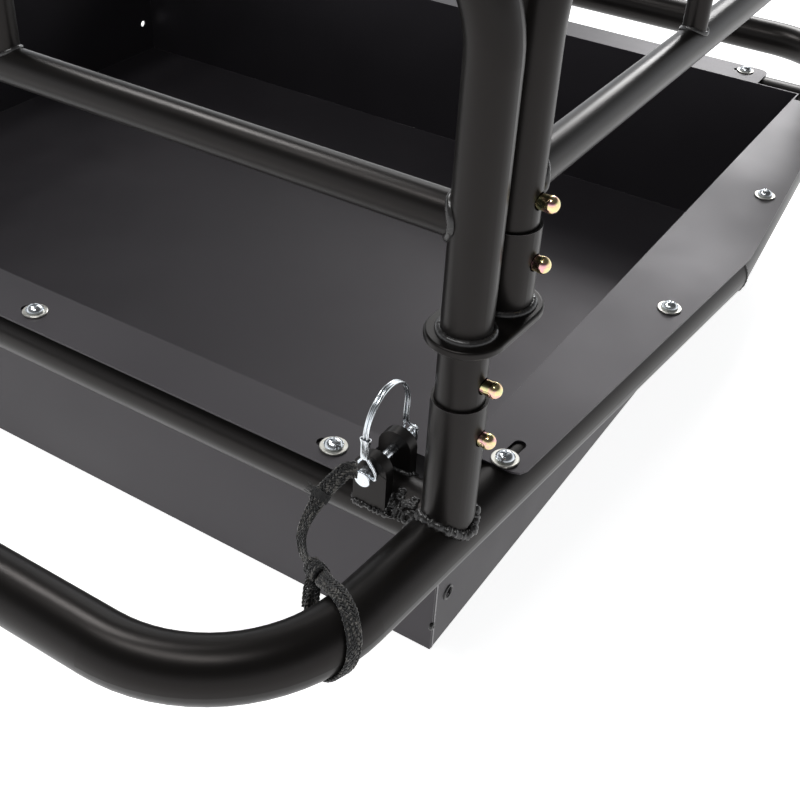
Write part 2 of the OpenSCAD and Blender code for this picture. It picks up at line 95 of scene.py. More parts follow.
RING_Z = middle("near_loop").z
RING_R = span("near_loop", 2) / 2
CORNER = Vector((middle("near_right_socket").x, middle("near_right_socket").y, RING_Z))
SIDE_SPLAY = math.radians(4.74)
LOOP_LEAD = 85 * MM
LOOP_RADIUS = 101 * MM
PIN = middle("right_lock_pin")
print("corner", [round(v, 4) for v in CORNER], "ring radius", round(RING_R, 4))

# %% [markdown]
# ## The camera
# The camera stands above the near right corner and looks down across the tray. A product photographer tilts
# the camera a little, so the view has a small roll as well as a turn and a tilt.

# %% Camera
CAMERA_TURN = math.radians(29.94)
CAMERA_TILT = math.radians(37.31)
CAMERA_ROLL = math.radians(3.58)
CAMERA_FROM_CORNER = Vector((0.2231, -0.4518, 0.4803))
camera_data = bpy.data.cameras.new("camera")
camera_data.lens = 52.19
camera_data.sensor_width = 36.0
camera_data.clip_start = 0.02
camera = bpy.data.objects.new("camera", camera_data)
camera.matrix_world = (
    Matrix.Translation(CORNER + CAMERA_FROM_CORNER)
    @ Matrix.Rotation(CAMERA_TURN, 4, "Z")
    @ Matrix.Rotation(math.pi / 2 - CAMERA_TILT, 4, "X")
    @ Matrix.Rotation(CAMERA_ROLL, 4, "Z")
)
bpy.context.scene.collection.objects.link(camera)
bpy.context.scene.camera = camera
bpy.context.scene.view_settings.view_transform = "Standard"

# %% [markdown]
# ## Small helpers for node trees
# Shader trees and geometry trees are both lists of nodes and links. One helper adds a node, sets its options,
# and fills its inputs: a socket is linked, and a plain value is typed in.


# %% Node helpers
def add(tree, kind, inputs=None, **options):
    """Adds a node. inputs maps a socket's name or number to a value or to another node's output."""
    node = tree.nodes.new(kind)
    for name, value in options.items():
        setattr(node, name, value)
    for key, value in (inputs or {}).items():
        if isinstance(value, bpy.types.NodeSocket):
            tree.links.new(value, node.inputs[key])
        else:
            node.inputs[key].default_value = value
    return node


def number(tree, operation, first, second=0.0):
    """One Math node for two numbers, in a shader tree or in a geometry tree."""
    return add(tree, "ShaderNodeMath", {0: first, 1: second}, operation=operation).outputs[0]


def maths(tree):
    """Short names for five Math nodes in one tree, so that a formula reads like one."""
    kinds = ("MULTIPLY", "ADD", "SUBTRACT", "DIVIDE", "SINE")
    return [lambda first, second=0.0, kind=kind: number(tree, kind, first, second) for kind in kinds]


def vector(tree, operation, first, second):
    """One Vector Math node. A second input that is a number scales the first."""
    key = 3 if operation == "SCALE" else 1
    return add(tree, "ShaderNodeVectorMath", {0: first, key: second}, operation=operation).outputs[0]


def tree_inputs(tree, sockets):
    """Gives a node group its named inputs. Each is (name, kind, default)."""
    for name, kind, default in sockets:
        socket = tree.interface.new_socket(name, in_out="INPUT", socket_type="NodeSocket" + kind)
        if default is not None:
            socket.default_value = default


def tree_outputs(tree, sockets):
    for name, kind in sockets:
        tree.interface.new_socket(name, in_out="OUTPUT", socket_type="NodeSocket" + kind)


def dressed(tree, last):
    """Ends a geometry tree: the last node's mesh takes the tree's Material and goes out."""
    material_in = add(tree, "NodeGroupInput").outputs["Material"]
    coat = add(tree, "GeometryNodeSetMaterial", {0: last.outputs[0], "Material": material_in})
    add(tree, "NodeGroupOutput", {0: coat.outputs[0]})
    return tree


# %% [markdown]
# ## Helpers for meshes
# Every piece sits at the origin with its place in its mesh. A piece for the left side is the right one
# mirrored across X = 0, and because a mirror turns faces inside out, its faces are flipped back.


# %% Mesh helpers
def put(name, mesh, material=None):
    """Links a mesh to the scene as an object at the origin."""
    piece = bpy.data.objects.new(name, mesh)
    bpy.context.scene.collection.objects.link(piece)
    if material:
        mesh.materials.clear()
        mesh.materials.append(material)
    return piece


def from_bmesh(name, shape, material=None, smooth=35):
    """Turns a bmesh into an object, with edges sharper than smooth degrees kept hard."""
    mesh = bpy.data.meshes.new(name)
    shape.to_mesh(mesh)
    shape.free()
    mesh.shade_smooth()
    mesh.set_sharp_from_angle(angle=math.radians(smooth))
    return put(name, mesh, material)


def mirrored(piece, name):
    """A copy of a piece on the other side of X = 0."""
    mesh = piece.data.copy()
    mesh.transform(Matrix.Scale(-1, 4, Vector((1, 0, 0))))
    mesh.flip_normals()
    return put(name, mesh)


def applied(piece):
    """Turns a piece with modifiers into a plain mesh."""
    view = bpy.context.evaluated_depsgraph_get()
    mesh = bpy.data.meshes.new_from_object(piece.evaluated_get(view))
    piece.modifiers.clear()
    piece.data = mesh
    return piece


def joined(name, pieces):
    """Several pieces in one mesh."""
    shape = bmesh.new()
    materials = []
    for piece in pieces:
        first = len(materials)
        materials += list(piece.data.materials)
        known = len(shape.faces)
        shape.from_mesh(piece.data)
        shape.faces.ensure_lookup_table()
        for face in shape.faces[known:]:
            face.material_index += first
        bpy.data.objects.remove(piece)
    result = from_bmesh(name, shape, None, 80)
    for finish in materials:
        result.data.materials.append(finish)
    return result


def swept_tube(line, radius, sides=14, shape=None):
    """A closed tube along a line. One direction is carried from ring to ring, so the tube never twists."""
    shape = shape or bmesh.new()
    rings = []
    side = (line[1] - line[0]).orthogonal().normalized()
    last = len(line) - 1
    for i, point in enumerate(line):
        run = (line[min(i + 1, last)] - line[max(i - 1, 0)]).normalized()
        side = (side - run * side.dot(run)).normalized()
        up = run.cross(side)
        turns = [2 * math.pi * k / sides for k in range(sides)]
        rings.append([shape.verts.new(point + (side * math.cos(turn) + up * math.sin(turn)) * radius)
                      for turn in turns])
    for first, second in zip(rings, rings[1:]):
        for k in range(sides):
            n = (k + 1) % sides
            shape.faces.new((first[k], first[n], second[n], second[k]))
    shape.faces.new(reversed(rings[0]))
    shape.faces.new(rings[-1])
    return shape


def grow(name, seed_mesh, tree, values, smooth=None):
    """Runs a geometry tree on a mesh and returns the result as a plain mesh."""
    piece = put(name, seed_mesh)
    modifier = piece.modifiers.new("grow", "NODES")
    modifier.node_group = tree
    for item in tree.interface.items_tree:
        if item.in_out == "INPUT" and item.name in values:
            modifier[item.identifier] = values[item.name]
    applied(piece)
    if smooth is not None:
        piece.data.shade_smooth()
        piece.data.set_sharp_from_angle(angle=math.radians(smooth))
    return piece

# %% [markdown]
# ## Lanyards: the route of a braided lace
# Each lock pin hangs on a flat braided lace. It leaves the foot of the pin's bail, hangs in a short bow, is
# knotted, and goes once around the ring. Its route is the one the CAD model keeps clear of the other parts:
# the first stretch is measured from the corner socket, and the loop is measured around the ring's tube.

# %% The route's points, in millimetres
LACE_HANG = [
    (-47, -27, 45), (-51, -32, 46), (-54, -37, 42), (-58, -43, 35), (-60, -50, 28), (-61, -57, 21),
    (-60, -63, 15), (-56, -68, 11), (-50, -72, 8), (-43, -75, 8), (-37, -78, 10)]
LACE_LOOP = [
    (90, 138, 26), (94, 108, 22), (98, 76, 20.6), (102, 48, 20.6), (105, 20, 20.6), (108, -8, 20.6),
    (111, -36, 20.6), (113, -65, 20.6), (113, -95, 20.6), (111, -125, 20.6), (107, -150, 20.8),
    (102, -168, 22), (97, -182, 25), (91, -190, 29)]
BEND_CENTRE = CORNER + Vector((
    -LOOP_LEAD * math.sin(SIDE_SPLAY) - LOOP_RADIUS * math.cos(SIDE_SPLAY),
    -LOOP_LEAD * math.cos(SIDE_SPLAY) + LOOP_RADIUS * math.sin(SIDE_SPLAY),
    0))


def ring_frame(distance):
    """Centre of the ring's tube and its outward direction, at a distance from the corner towards the loop."""
    if distance < LOOP_LEAD:
        out = Vector((math.cos(SIDE_SPLAY), -math.sin(SIDE_SPLAY), 0))
        run = Vector((-math.sin(SIDE_SPLAY), -math.cos(SIDE_SPLAY), 0))
        return CORNER + run * distance, out
    turn = SIDE_SPLAY + (distance - LOOP_LEAD) / LOOP_RADIUS
    out = Vector((math.cos(turn), -math.sin(turn), 0))
    return BEND_CENTRE + out * LOOP_RADIUS, out


def ring_point(distance, angle, radius):
    """A point around the tube, and the way it faces: angle 0 is the outside and 90 degrees is the top."""
    centre, out = ring_frame(distance)
    facing = out * math.cos(angle) + Vector((0, 0, 1)) * math.sin(angle)
    return centre + facing * radius, facing


def spline(points, steps):
    """A smooth line through the points, with a given number of steps between two of them."""
    line = []
    last = len(points) - 1
    for i in range(last):
        a, b, c, d = (points[min(max(k, 0), last)] for k in (i - 1, i, i + 1, i + 2))
        for step in range(steps):
            u = step / steps
            line.append(0.5 * (2 * b + (c - a) * u + (2 * a - 5 * b + 4 * c - d) * u**2
                               + (3 * b - a - 3 * c + d) * u**3))
    return line + [points[last]]


# %% [markdown]
# ## Which way a flat lace faces
# A round cord looks the same from all sides, but a lace has a width. Beside each point of the route stands
# the direction that its face looks in: forwards, turned about the run by some degrees at each point while it
# hangs, and away from the tube where it is wrapped. The width lies across the run and that direction.

# %% The route with its facing directions
HANG_FACE = Vector((0.42, -0.6, 0.68))
HANG_TURNS = (0, 0, 0, 8, 30, 50, 56, 62, 68, 45, 20)
lace_points = [CORNER + Vector(point) * MM for point in LACE_HANG]
lace_faces = []
for i, turn in enumerate(HANG_TURNS):
    run = lace_points[min(i + 1, len(lace_points) - 1)] - lace_points[max(i - 1, 0)]
    lace_faces.append(Matrix.Rotation(math.radians(turn), 3, run) @ HANG_FACE)
for distance, angle, radius in LACE_LOOP:
    point, facing = ring_point(distance * MM, math.radians(angle), radius * MM)
    lace_points.append(point)
    lace_faces.append(facing)
LACE_STEPS = 8
lace_route = spline(lace_points, LACE_STEPS)
lace_facing = spline(lace_faces, LACE_STEPS)

# %% [markdown]
# ## The braid as a geometry tree
# A flat braid is a handful of yarns that zigzag from edge to edge and go over and under each other. One tree
# makes them all: it copies the route once for each yarn, gives each copy its own phase, and moves its points
# sideways by a rounded zigzag and up and down by a wave that flips at the edges.


# %% Geometry tree: flat braid
def build_braid():
    tree = bpy.data.node_groups.new("flat_braid", "GeometryNodeTree")
    times, plus, minus, over, sine = maths(tree)
    tree_inputs(tree, [
        ("Geometry", "Geometry", None), ("Yarns", "Int", 12), ("Width", "Float", 8 * MM),
        ("Lift", "Float", 0.5 * MM), ("Traverse", "Float", 14 * MM), ("Yarn radius", "Float", 0.62 * MM),
        ("Step", "Float", 0.5 * MM), ("Material", "Material", None)])
    tree_outputs(tree, [("Geometry", "Geometry")])
    start = add(tree, "NodeGroupInput").outputs
    curve = add(tree, "GeometryNodeMeshToCurve", {0: start["Geometry"]}).outputs[0]
    even = add(tree, "GeometryNodeResampleCurve", {"Curve": curve, "Length": start["Step"]}, mode="LENGTH")
    copies = add(tree, "GeometryNodeDuplicateElements", {0: even.outputs[0], "Amount": start["Yarns"]},
                 domain="SPLINE")
    along = add(tree, "GeometryNodeSplineParameter").outputs["Length"]
    phase = over(times(copies.outputs[1], 2.0), start["Yarns"])
    place = times(plus(over(along, start["Traverse"]), phase), math.pi)
    # Across: a zigzag with slightly rounded turns
    swing = sine(minus(place, math.pi / 2))
    zigzag = number(tree, "ARCSINE", times(swing, 0.985))
    across = times(times(zigzag, start["Width"]), 1 / math.pi)
    # Up and down: over two yarns, then under two, and the sign changes where a yarn turns back at an edge
    turns = number(tree, "PINGPONG", over(place, math.pi), 0.5)
    crossing = times(times(turns, start["Yarns"]), math.pi / 2)
    wave = number(tree, "COSINE", minus(crossing, 0.75 * math.pi))
    flip = times(times(sine(place), start["Yarns"]), 0.6)
    flip = number(tree, "MAXIMUM", number(tree, "MINIMUM", flip, 1.0), -1.0)
    weave = times(wave, flip)
    up = times(weave, start["Lift"])
    # Height of each yarn from 0 to 1, kept for the lace's material, which turns it into a painted highlight
    # and painted shade
    crown = plus(times(weave, 0.5), 0.5)
    side = add(tree, "GeometryNodeInputNamedAttribute", {"Name": "side"}, data_type="FLOAT_VECTOR").outputs[0]
    face = add(tree, "GeometryNodeInputNamedAttribute", {"Name": "face"}, data_type="FLOAT_VECTOR").outputs[0]
    shift = vector(tree, "ADD", vector(tree, "SCALE", side, across), vector(tree, "SCALE", face, up))
    moved = add(tree, "GeometryNodeSetPosition", {0: copies.outputs[0], "Offset": shift})
    marked = add(tree, "GeometryNodeStoreNamedAttribute",
                 {0: moved.outputs[0], "Name": "crown", "Value": crown}, data_type="FLOAT", domain="POINT")
    yarn = add(tree, "GeometryNodeCurvePrimitiveCircle", {"Resolution": 5, "Radius": start["Yarn radius"]})
    swept = add(tree, "GeometryNodeCurveToMesh",
                {"Curve": marked.outputs[0], "Profile Curve": yarn.outputs[0], "Fill Caps": True})
    real = add(tree, "GeometryNodeRealizeInstances", {0: swept.outputs[0]})
    return dressed(tree, real)


flat_braid = build_braid()


# %% A line with its side and facing directions, ready for the tree
def lace_line(name, points, facings):
    mesh = bpy.data.meshes.new(name)
    mesh.from_pydata(points, [(i, i + 1) for i in range(len(points) - 1)], [])
    sides = mesh.attributes.new("side", "FLOAT_VECTOR", "POINT")
    faces = mesh.attributes.new("face", "FLOAT_VECTOR", "POINT")
    last = len(points) - 1
    for i, facing in enumerate(facings):
        run = (points[min(i + 1, last)] - points[max(i - 1, 0)]).normalized()
        side = run.cross(facing).normalized()
        sides.data[i].vector = side
        faces.data[i].vector = side.cross(run)
    return mesh


# %% [markdown]
# ## Shared effects for the finishes
# Powder coat and zinc both need fine grain and slow clouding, at their own scale. The grain is one shader
# group with named inputs. It reads Object coordinates, which stay put when a gate or a pin moves.


# %% Shader group: grain
def build_grain():
    group = bpy.data.node_groups.new("surface_grain", "ShaderNodeTree")
    tree_inputs(group, [
        ("Grain per metre", "Float", 900.0), ("Depth", "Float", 0.3), ("Clouds per metre", "Float", 9.0),
        ("Smoothest", "Float", 0.3), ("Roughest", "Float", 0.42)])
    tree_outputs(group, [("Cloud", "Float"), ("Roughness", "Float"), ("Normal", "Vector")])
    start = add(group, "NodeGroupInput").outputs
    place = add(group, "ShaderNodeTexCoord").outputs["Object"]
    grain = add(group, "ShaderNodeTexNoise",
                {"Vector": place, "Scale": start["Grain per metre"], "Detail": 3.0, "Roughness": 0.55})
    cloud = add(group, "ShaderNodeTexNoise",
                {"Vector": place, "Scale": start["Clouds per metre"], "Detail": 4.0, "Roughness": 0.6})
    rough = add(group, "ShaderNodeMapRange",
                {"Value": cloud.outputs[0], "From Min": 0.3, "From Max": 0.7,
                 "To Min": start["Smoothest"], "To Max": start["Roughest"]})
    bump = add(group, "ShaderNodeBump",
               {"Height": grain.outputs[0], "Strength": start["Depth"], "Distance": 0.0001})
    end = add(group, "NodeGroupOutput")
    group.links.new(cloud.outputs[0], end.inputs["Cloud"])
    group.links.new(rough.outputs[0], end.inputs["Roughness"])
    group.links.new(bump.outputs[0], end.inputs["Normal"])
    return group


surface_grain = build_grain()


def material(name, shown):
    """A new material with only its Principled BSDF, and a plain colour for the viewport."""
    finish = bpy.data.materials.new(name)
    finish.use_nodes = True
    finish.diffuse_color = (*shown, 1)
    return finish, finish.node_tree, finish.node_tree.nodes["Principled BSDF"]


def grained(name, dark, light, metallic, grain):
    """A finish with surface grain, and a colour that drifts slowly from dark to light.

    grain is (grain per metre, depth, clouds per metre, smoothest, roughest), in the group's order.
    """
    finish, tree, surface = material(name, light)
    group = add(tree, "ShaderNodeGroup", node_tree=surface_grain)
    for socket, value in zip(group.inputs, grain):
        socket.default_value = value
    tone = add(tree, "ShaderNodeMix",
               {0: group.outputs["Cloud"], 6: (*dark, 1), 7: (*light, 1)}, data_type="RGBA")
    tree.links.new(tone.outputs[2], surface.inputs["Base Color"])
    tree.links.new(group.outputs["Roughness"], surface.inputs["Roughness"])
    tree.links.new(group.outputs["Normal"], surface.inputs["Normal"])
    surface.inputs["Metallic"].default_value = metallic
    return finish, tree, surface


# %% [markdown]
# ## Satin black powder coat
# Powder coat is melted onto the steel, so it has a faint orange-peel texture about a millimetre across, and
# a satin gloss. Its colour is a very dark neutral: most of what is seen is reflection.

# %% Paints
frame_paint, _, paint_surface = grained(
    "satin_black_powder_coat", (0.0035, 0.0031, 0.0029), (0.0065, 0.0059, 0.0056), 0.0,
    (750.0, 0.16, 9.0, 0.28, 0.36))
paint_surface.inputs["IOR"].default_value = 1.3
paint_surface.inputs["Specular Tint"].default_value = (1.0, 0.93, 0.9, 1)
tray_paint, _, sheet_surface = grained(
    "satin_black_sheet_coat", (0.0072, 0.0066, 0.0078), (0.0128, 0.0117, 0.0138), 0.0,
    (900.0, 0.2, 5.0, 0.4, 0.5))
sheet_surface.inputs["Specular Tint"].default_value = (1.0, 0.93, 1.0, 1)
# Light grey for rolled edges and the tray's corner seams: a painted highlight along folds and rims.
painted_edge_highlight, _, _ = grained(
    "painted_highlight_on_edges", (0.13, 0.125, 0.13), (0.22, 0.21, 0.22), 0.0,
    (1200.0, 0.2, 40.0, 0.25, 0.35))
weld_paint, _, _ = grained(
    "glossy_black_over_weld", (0.006, 0.006, 0.006), (0.035, 0.033, 0.032), 0.0,
    (1400.0, 0.35, 120.0, 0.16, 0.34))

# %% [markdown]
# ## Zinc plate, bright and yellow
# Bright zinc is a cool, slightly cloudy mirror. Yellow chromate over zinc is a thin film, so its colour
# wanders between straw, pink and green over a few millimetres: a noise texture drives a colour ramp.

# %% Metals
bright_zinc, _, _ = grained(
    "bright_zinc_plate", (0.62, 0.66, 0.70), (0.90, 0.93, 0.95), 1.0,
    (2600.0, 0.12, 260.0, 0.14, 0.3))
washer_zinc, _, _ = grained(
    "dull_zinc_plate", (0.42, 0.40, 0.35), (0.74, 0.74, 0.70), 1.0,
    (2200.0, 0.2, 200.0, 0.26, 0.44))
yellow_zinc, yellow_tree, yellow_surface = grained(
    "yellow_chromated_zinc", (0.6, 0.45, 0.2), (0.9, 0.78, 0.45), 1.0,
    (2400.0, 0.12, 230.0, 0.13, 0.26))
film_place = add(yellow_tree, "ShaderNodeTexCoord").outputs["Object"]
film_noise = add(yellow_tree, "ShaderNodeTexNoise", {"Vector": film_place, "Scale": 190.0, "Detail": 2.0})
film = add(yellow_tree, "ShaderNodeValToRGB", {0: film_noise.outputs[0]})
film.color_ramp.elements[0].position = 0.36
film.color_ramp.elements[0].color = (0.80, 0.42, 0.44, 1)
film.color_ramp.elements[1].position = 0.66
film.color_ramp.elements[1].color = (0.62, 0.66, 0.34, 1)
straw = film.color_ramp.elements.new(0.5)
straw.color = (0.88, 0.70, 0.36, 1)
yellow_tree.links.new(film.outputs[0], yellow_surface.inputs["Base Color"])

# %% [markdown]
# ## Black polyester lace
# Each yarn is a bundle of shiny filaments, so it is dark with a soft, slightly warm sheen. Its colour holds a
# painted highlight, warm grey where a yarn rides over another, and painted shade, near black, on the lower
# parts between. A fine noise breaks the shine up into filaments.

# %% Lace
lace_finish, lace_tree, lace_surface = grained(
    "black_braided_polyester", (0.008, 0.008, 0.008), (0.045, 0.042, 0.038), 0.0,
    (5200.0, 0.7, 700.0, 0.42, 0.62))
# Painted highlight and shade in the colour: warm grey on the top of each yarn, near black lower down
crown = add(lace_tree, "ShaderNodeAttribute", attribute_name="crown").outputs["Fac"]
painted_glint = add(lace_tree, "ShaderNodeMapRange", {"Value": crown, "From Min": 0.66, "From Max": 1.0})
painted_yarn_highlight = add(lace_tree, "ShaderNodeMix", {0: painted_glint.outputs[0], 6: (0.002, 0.002, 0.002, 1),
                                             7: (0.1, 0.094, 0.084, 1)}, data_type="RGBA")
lace_tree.links.new(painted_yarn_highlight.outputs[2], lace_surface.inputs["Base Color"])
lace_surface.inputs["Sheen Weight"].default_value = 0.3
lace_surface.inputs["Sheen Roughness"].default_value = 0.4

thread_finish, _, _ = grained(
    "black_sewing_thread", (0.004, 0.004, 0.004), (0.02, 0.02, 0.02), 0.0,
    (5200.0, 0.4, 900.0, 0.5, 0.7))

# %% Give every CAD node its finish
FINISH_OF_SLOT = {
    "frame_paint": frame_paint, "tray_paint": tray_paint, "bright_zinc": bright_zinc,
    "yellow_zinc": yellow_zinc, "lace": lace_finish}
for entry in frame["record"]["subparts"]:
    mesh = frame["nodes"][entry["node"]].data
    mesh.materials.clear()
    mesh.materials.append(FINISH_OF_SLOT[entry["material_slot"]])
frame["nodes"]["tray_washers"].data.materials[0] = washer_zinc

# %% [markdown]
# ## Make the lanyards
# The tree runs on the route, on the end that is folded back and sewn, and on the knot's wraps and strand.

# %% Right and left lace
LACE_SIZES = {"Yarns": 12, "Width": 10 * MM, "Lift": 0.62 * MM, "Traverse": 15 * MM,
              "Yarn radius": 0.64 * MM, "Step": 0.45 * MM, "Material": lace_finish}
laces = {}
laces["right"] = grow(
    "right_lace", lace_line("right_lace", lace_route, lace_facing), flat_braid, LACE_SIZES, 80)
laces["left"] = mirrored(laces["right"], "left_lace")
print("lace faces", len(laces["right"].data.polygons))


# %% Sewn-back end
SEWN = 4 * LACE_STEPS
sewn_points = [point + face.normalized() * 2.3 * MM for point, face in zip(lace_route[:SEWN], lace_facing)]
tails = {"right": grow("right_lace_end", lace_line("right_lace_end", sewn_points, lace_facing[:SEWN]),
                       flat_braid, LACE_SIZES, 80)}
tails["left"] = mirrored(tails["right"], "left_lace_end")

# %% Knot: wraps around a core, and the back strand that runs into it
KNOT_TURNS = 2.4
KNOT_RADIUS = 4.7 * MM
KNOT_LENGTH = 12 * MM
KNOT_STEPS = 48
knot_at = lace_points[len(LACE_HANG) - 2] + Vector((3, -1.5, 0.5)) * MM
knot_run = (lace_points[len(LACE_HANG)] - lace_points[len(LACE_HANG) - 3]).normalized()
knot_side = knot_run.orthogonal().normalized()
knot_up = knot_run.cross(knot_side)
knot_points, knot_faces = [], []
for k in range(KNOT_STEPS + 1):
    turn = KNOT_TURNS * 2 * math.pi * k / KNOT_STEPS
    out = knot_side * math.cos(turn) + knot_up * math.sin(turn)
    knot_points.append(knot_at + out * KNOT_RADIUS + knot_run * (k / KNOT_STEPS - 0.45) * KNOT_LENGTH)
    knot_faces.append(out)
back_points = spline([lace_route[-12], lace_route[-1], (lace_route[-1] + knot_at) / 2, knot_at], LACE_STEPS)
back_faces = [HANG_FACE] * len(back_points)
knots = {"right": joined("right_knot", [
    grow("wraps", lace_line("wraps", knot_points, knot_faces), flat_braid,
         {**LACE_SIZES, "Yarns": 8, "Width": 4.6 * MM, "Traverse": 10 * MM, "Lift": 0.9 * MM}, 80),
    grow("back strand", lace_line("back", back_points, back_faces), flat_braid, LACE_SIZES, 80),
    from_bmesh("core", swept_tube([knot_at + knot_run * step * MM for step in (-5, -2, 1, 4, 7)], 4.1 * MM),
               lace_finish, 60)])}
knots["left"] = mirrored(knots["right"], "left_knot")

# %% Whipping: turns of thread around the end that is sewn back, with a few loose ends
THREAD_R = 0.35 * MM
THREAD_STEPS = 90
whip_at = SEWN - 5
whip_run = (lace_route[whip_at + 2] - lace_route[whip_at]).normalized()
whip_up = lace_facing[whip_at].normalized()
whip_side = whip_run.cross(whip_up).normalized()
whip_centre = lace_route[whip_at] + whip_up * 1.0 * MM
thread = [whip_centre + whip_run * (k / THREAD_STEPS - 0.5) * 5 * MM
          + whip_side * math.cos(k * math.pi / 6) * 5.6 * MM + whip_up * math.sin(k * math.pi / 6) * 2.9 * MM
          for k in range(THREAD_STEPS + 1)]
whipping = swept_tube(thread, THREAD_R, 6)
loose = random.Random(4)
for _ in range(12):
    start = whip_centre + whip_side * loose.uniform(3, 6) * MM + whip_run * loose.uniform(-2, 2) * MM
    bend = [Vector([loose.uniform(-1, 1) for _ in range(3)]) * 1.6 * MM + whip_side * 2.0 * MM
            for _ in range(3)]
    end_line = [start, start + bend[0], start + bend[0] + bend[1], start + bend[0] + bend[1] + bend[2]]
    whipping = swept_tube(spline(end_line, 3), THREAD_R * 0.5, 5, whipping)
whips = {"right": from_bmesh("right_whipping", whipping, thread_finish, 60)}
whips["left"] = mirrored(whips["right"], "left_whipping")

# %% [markdown]
# ## Rolled edges
# Sheet metal is never razor sharp: a fold has a radius, and a cut edge is rounded by its coat of powder. That
# thin round is what catches the light along a rim. A copy of the CAD node is merged, its flat triangles are
# joined into whole faces, and a Bevel modifier rolls the sharp edges. Where a second finish is given, the
# rolled
# faces wear it: a light grey, a painted highlight along the rim. The copy then stands for the node.


# %% Copies of CAD nodes with rolled edges
def rolled(node, width, edge_highlight_finish=None, segments=3, sharp=35):
    shape = bmesh.new()
    shape.from_mesh(frame["nodes"][node].data)
    bmesh.ops.remove_doubles(shape, verts=shape.verts, dist=2e-6)
    bmesh.ops.dissolve_limit(shape, angle_limit=math.radians(0.6), verts=shape.verts, edges=shape.edges)
    piece = from_bmesh(node + "_rolled", shape, frame["nodes"][node].data.materials[0], sharp)
    bevel = piece.modifiers.new("rolled edges", "BEVEL")
    bevel.width = width
    bevel.segments = segments
    bevel.limit_method = "ANGLE"
    bevel.angle_limit = math.radians(sharp)
    bevel.harden_normals = True
    # The rolled faces take the light grey: a painted highlight.
    if edge_highlight_finish:
        piece.data.materials.append(edge_highlight_finish)
        bevel.material = 1
    return applied(piece)


SHEET_ROUND = 0.7 * MM
RIM_ROUND = 0.45 * MM
LUG_ROUND = 1.0 * MM
stands_for = {}
stands_for["tray"] = (rolled("tray", SHEET_ROUND, painted_edge_highlight), "frame", "tray_paint")
for corner in ("near_right", "near_left", "far_right", "far_left"):
    node = corner + "_socket"
    stands_for[node] = (rolled(node, RIM_ROUND, painted_edge_highlight), "frame", "frame_paint")
for gate in ("near_gate", "far_gate"):
    stands_for[gate + "_sleeves"] = (rolled(gate + "_sleeves", RIM_ROUND, painted_edge_highlight), gate, "frame_paint")
for side in ("right", "left"):
    stands_for[side + "_lugs"] = (rolled(side + "_lugs", LUG_ROUND), "frame", "frame_paint")
for node, (piece, _, _) in stands_for.items():
    edge_faces = sum(face.material_index == 1 for face in piece.data.polygons)
    print(node, len(piece.data.polygons), "faces,", edge_faces, "on rolled edges")

# %% Corner seams of the tray, and a rolled lip around each drain hole
foot = [vert.co for vert in frame["nodes"]["tray"].data.vertices if vert.co.z < MM]
wall = Vector((max(co.x for co in foot), max(co.y for co in foot), 0))
DRAIN_Y, DRAIN_Z, DRAIN_R = 346 * MM, 41 * MM, 4 * MM
SEAM_TOP, SEAM_WIDTH, SEAM_RAISED = 150 * MM, 1.6 * MM, 0.35 * MM
seams = bmesh.new()
for sx in (1, -1):
    for sy in (1, -1):
        strip = bmesh.ops.create_cube(seams, size=1)["verts"]
        for vert in strip:
            vert.co = Vector((sx * (wall.x + SEAM_RAISED * (vert.co.x > 0)),
                              sy * (wall.y - 2 * MM - SEAM_WIDTH * (vert.co.y + 0.5)),
                              SEAM_TOP * (vert.co.z + 0.5)))
bmesh.ops.recalc_face_normals(seams, faces=seams.faces)
# Each corner seam is a thin raised strip, painted light grey: a painted highlight along the seam.
seam_piece = from_bmesh("tray_corner_seams", seams, painted_edge_highlight)
lips = bmesh.new()
for sx in (1, -1):
    for sy in (1, -1):
        for radius, reach, height in ((DRAIN_R + 1.0 * MM, 1.1 * MM, DRAIN_Z), (1.6 * MM, 1.6 * MM, 24 * MM)):
            y = sy * (DRAIN_Y if height == DRAIN_Z else wall.y)
            ring = [Vector((sx * wall.x, y + radius * math.cos(turn), height + radius * math.sin(turn)))
                    for turn in (2 * math.pi * k / 32 for k in range(33))]
            swept_tube(ring, reach, 8, lips)
lip_piece = from_bmesh("tray_drain_lips", lips, weld_paint, 60)

# %% [markdown]
# ## Weld beads
# Every joint in the frame is MIG welded. A bead is a row of overlapping puddles, so it is swept along the
# line where two tubes meet, with a radius that ripples. That line is worked out from the tubes: each point
# around the first tube's wall is sent along its axis until it lands on the second tube.


# %% Lines where parts meet
UP = Vector((0, 0, 1))
EAST = Vector((1, 0, 0))
NORTH = Vector((0, 1, 0))


def saddle(centre, along, radius, other_place, other_along, other_radius, count=72):
    """Where a tube that runs along `along` lands on another tube."""
    along = along.normalized()
    other = other_along.normalized()
    side = along.orthogonal().normalized()
    up = along.cross(side)
    line = []
    for k in range(count):
        turn = 2 * math.pi * k / count
        start = centre + (side * math.cos(turn) + up * math.sin(turn)) * radius
        drift = along - other * along.dot(other)
        offset = (start - other_place) - other * (start - other_place).dot(other)
        a, b, c = drift.dot(drift), drift.dot(offset), offset.dot(offset) - other_radius**2
        line.append(start + along * ((-b + math.sqrt(max(b * b - a * c, 0.0))) / a))
    return line


def circle(centre, along, radius, count=72):
    """A plain ring around a tube that stands on a flat plate."""
    side = along.orthogonal().normalized()
    up = along.normalized().cross(side)
    turns = [2 * math.pi * k / count for k in range(count)]
    return [centre + (side * math.cos(turn) + up * math.sin(turn)) * radius for turn in turns]


def tube_back(x, y):
    """A point on the round back of the near cross tube, kept off its steep sides."""
    drop = y - middle("near_cross_tube").y
    return Vector((x, y, RING_Z + math.sqrt(max(RING_R**2 - drop**2, (6 * MM)**2))))


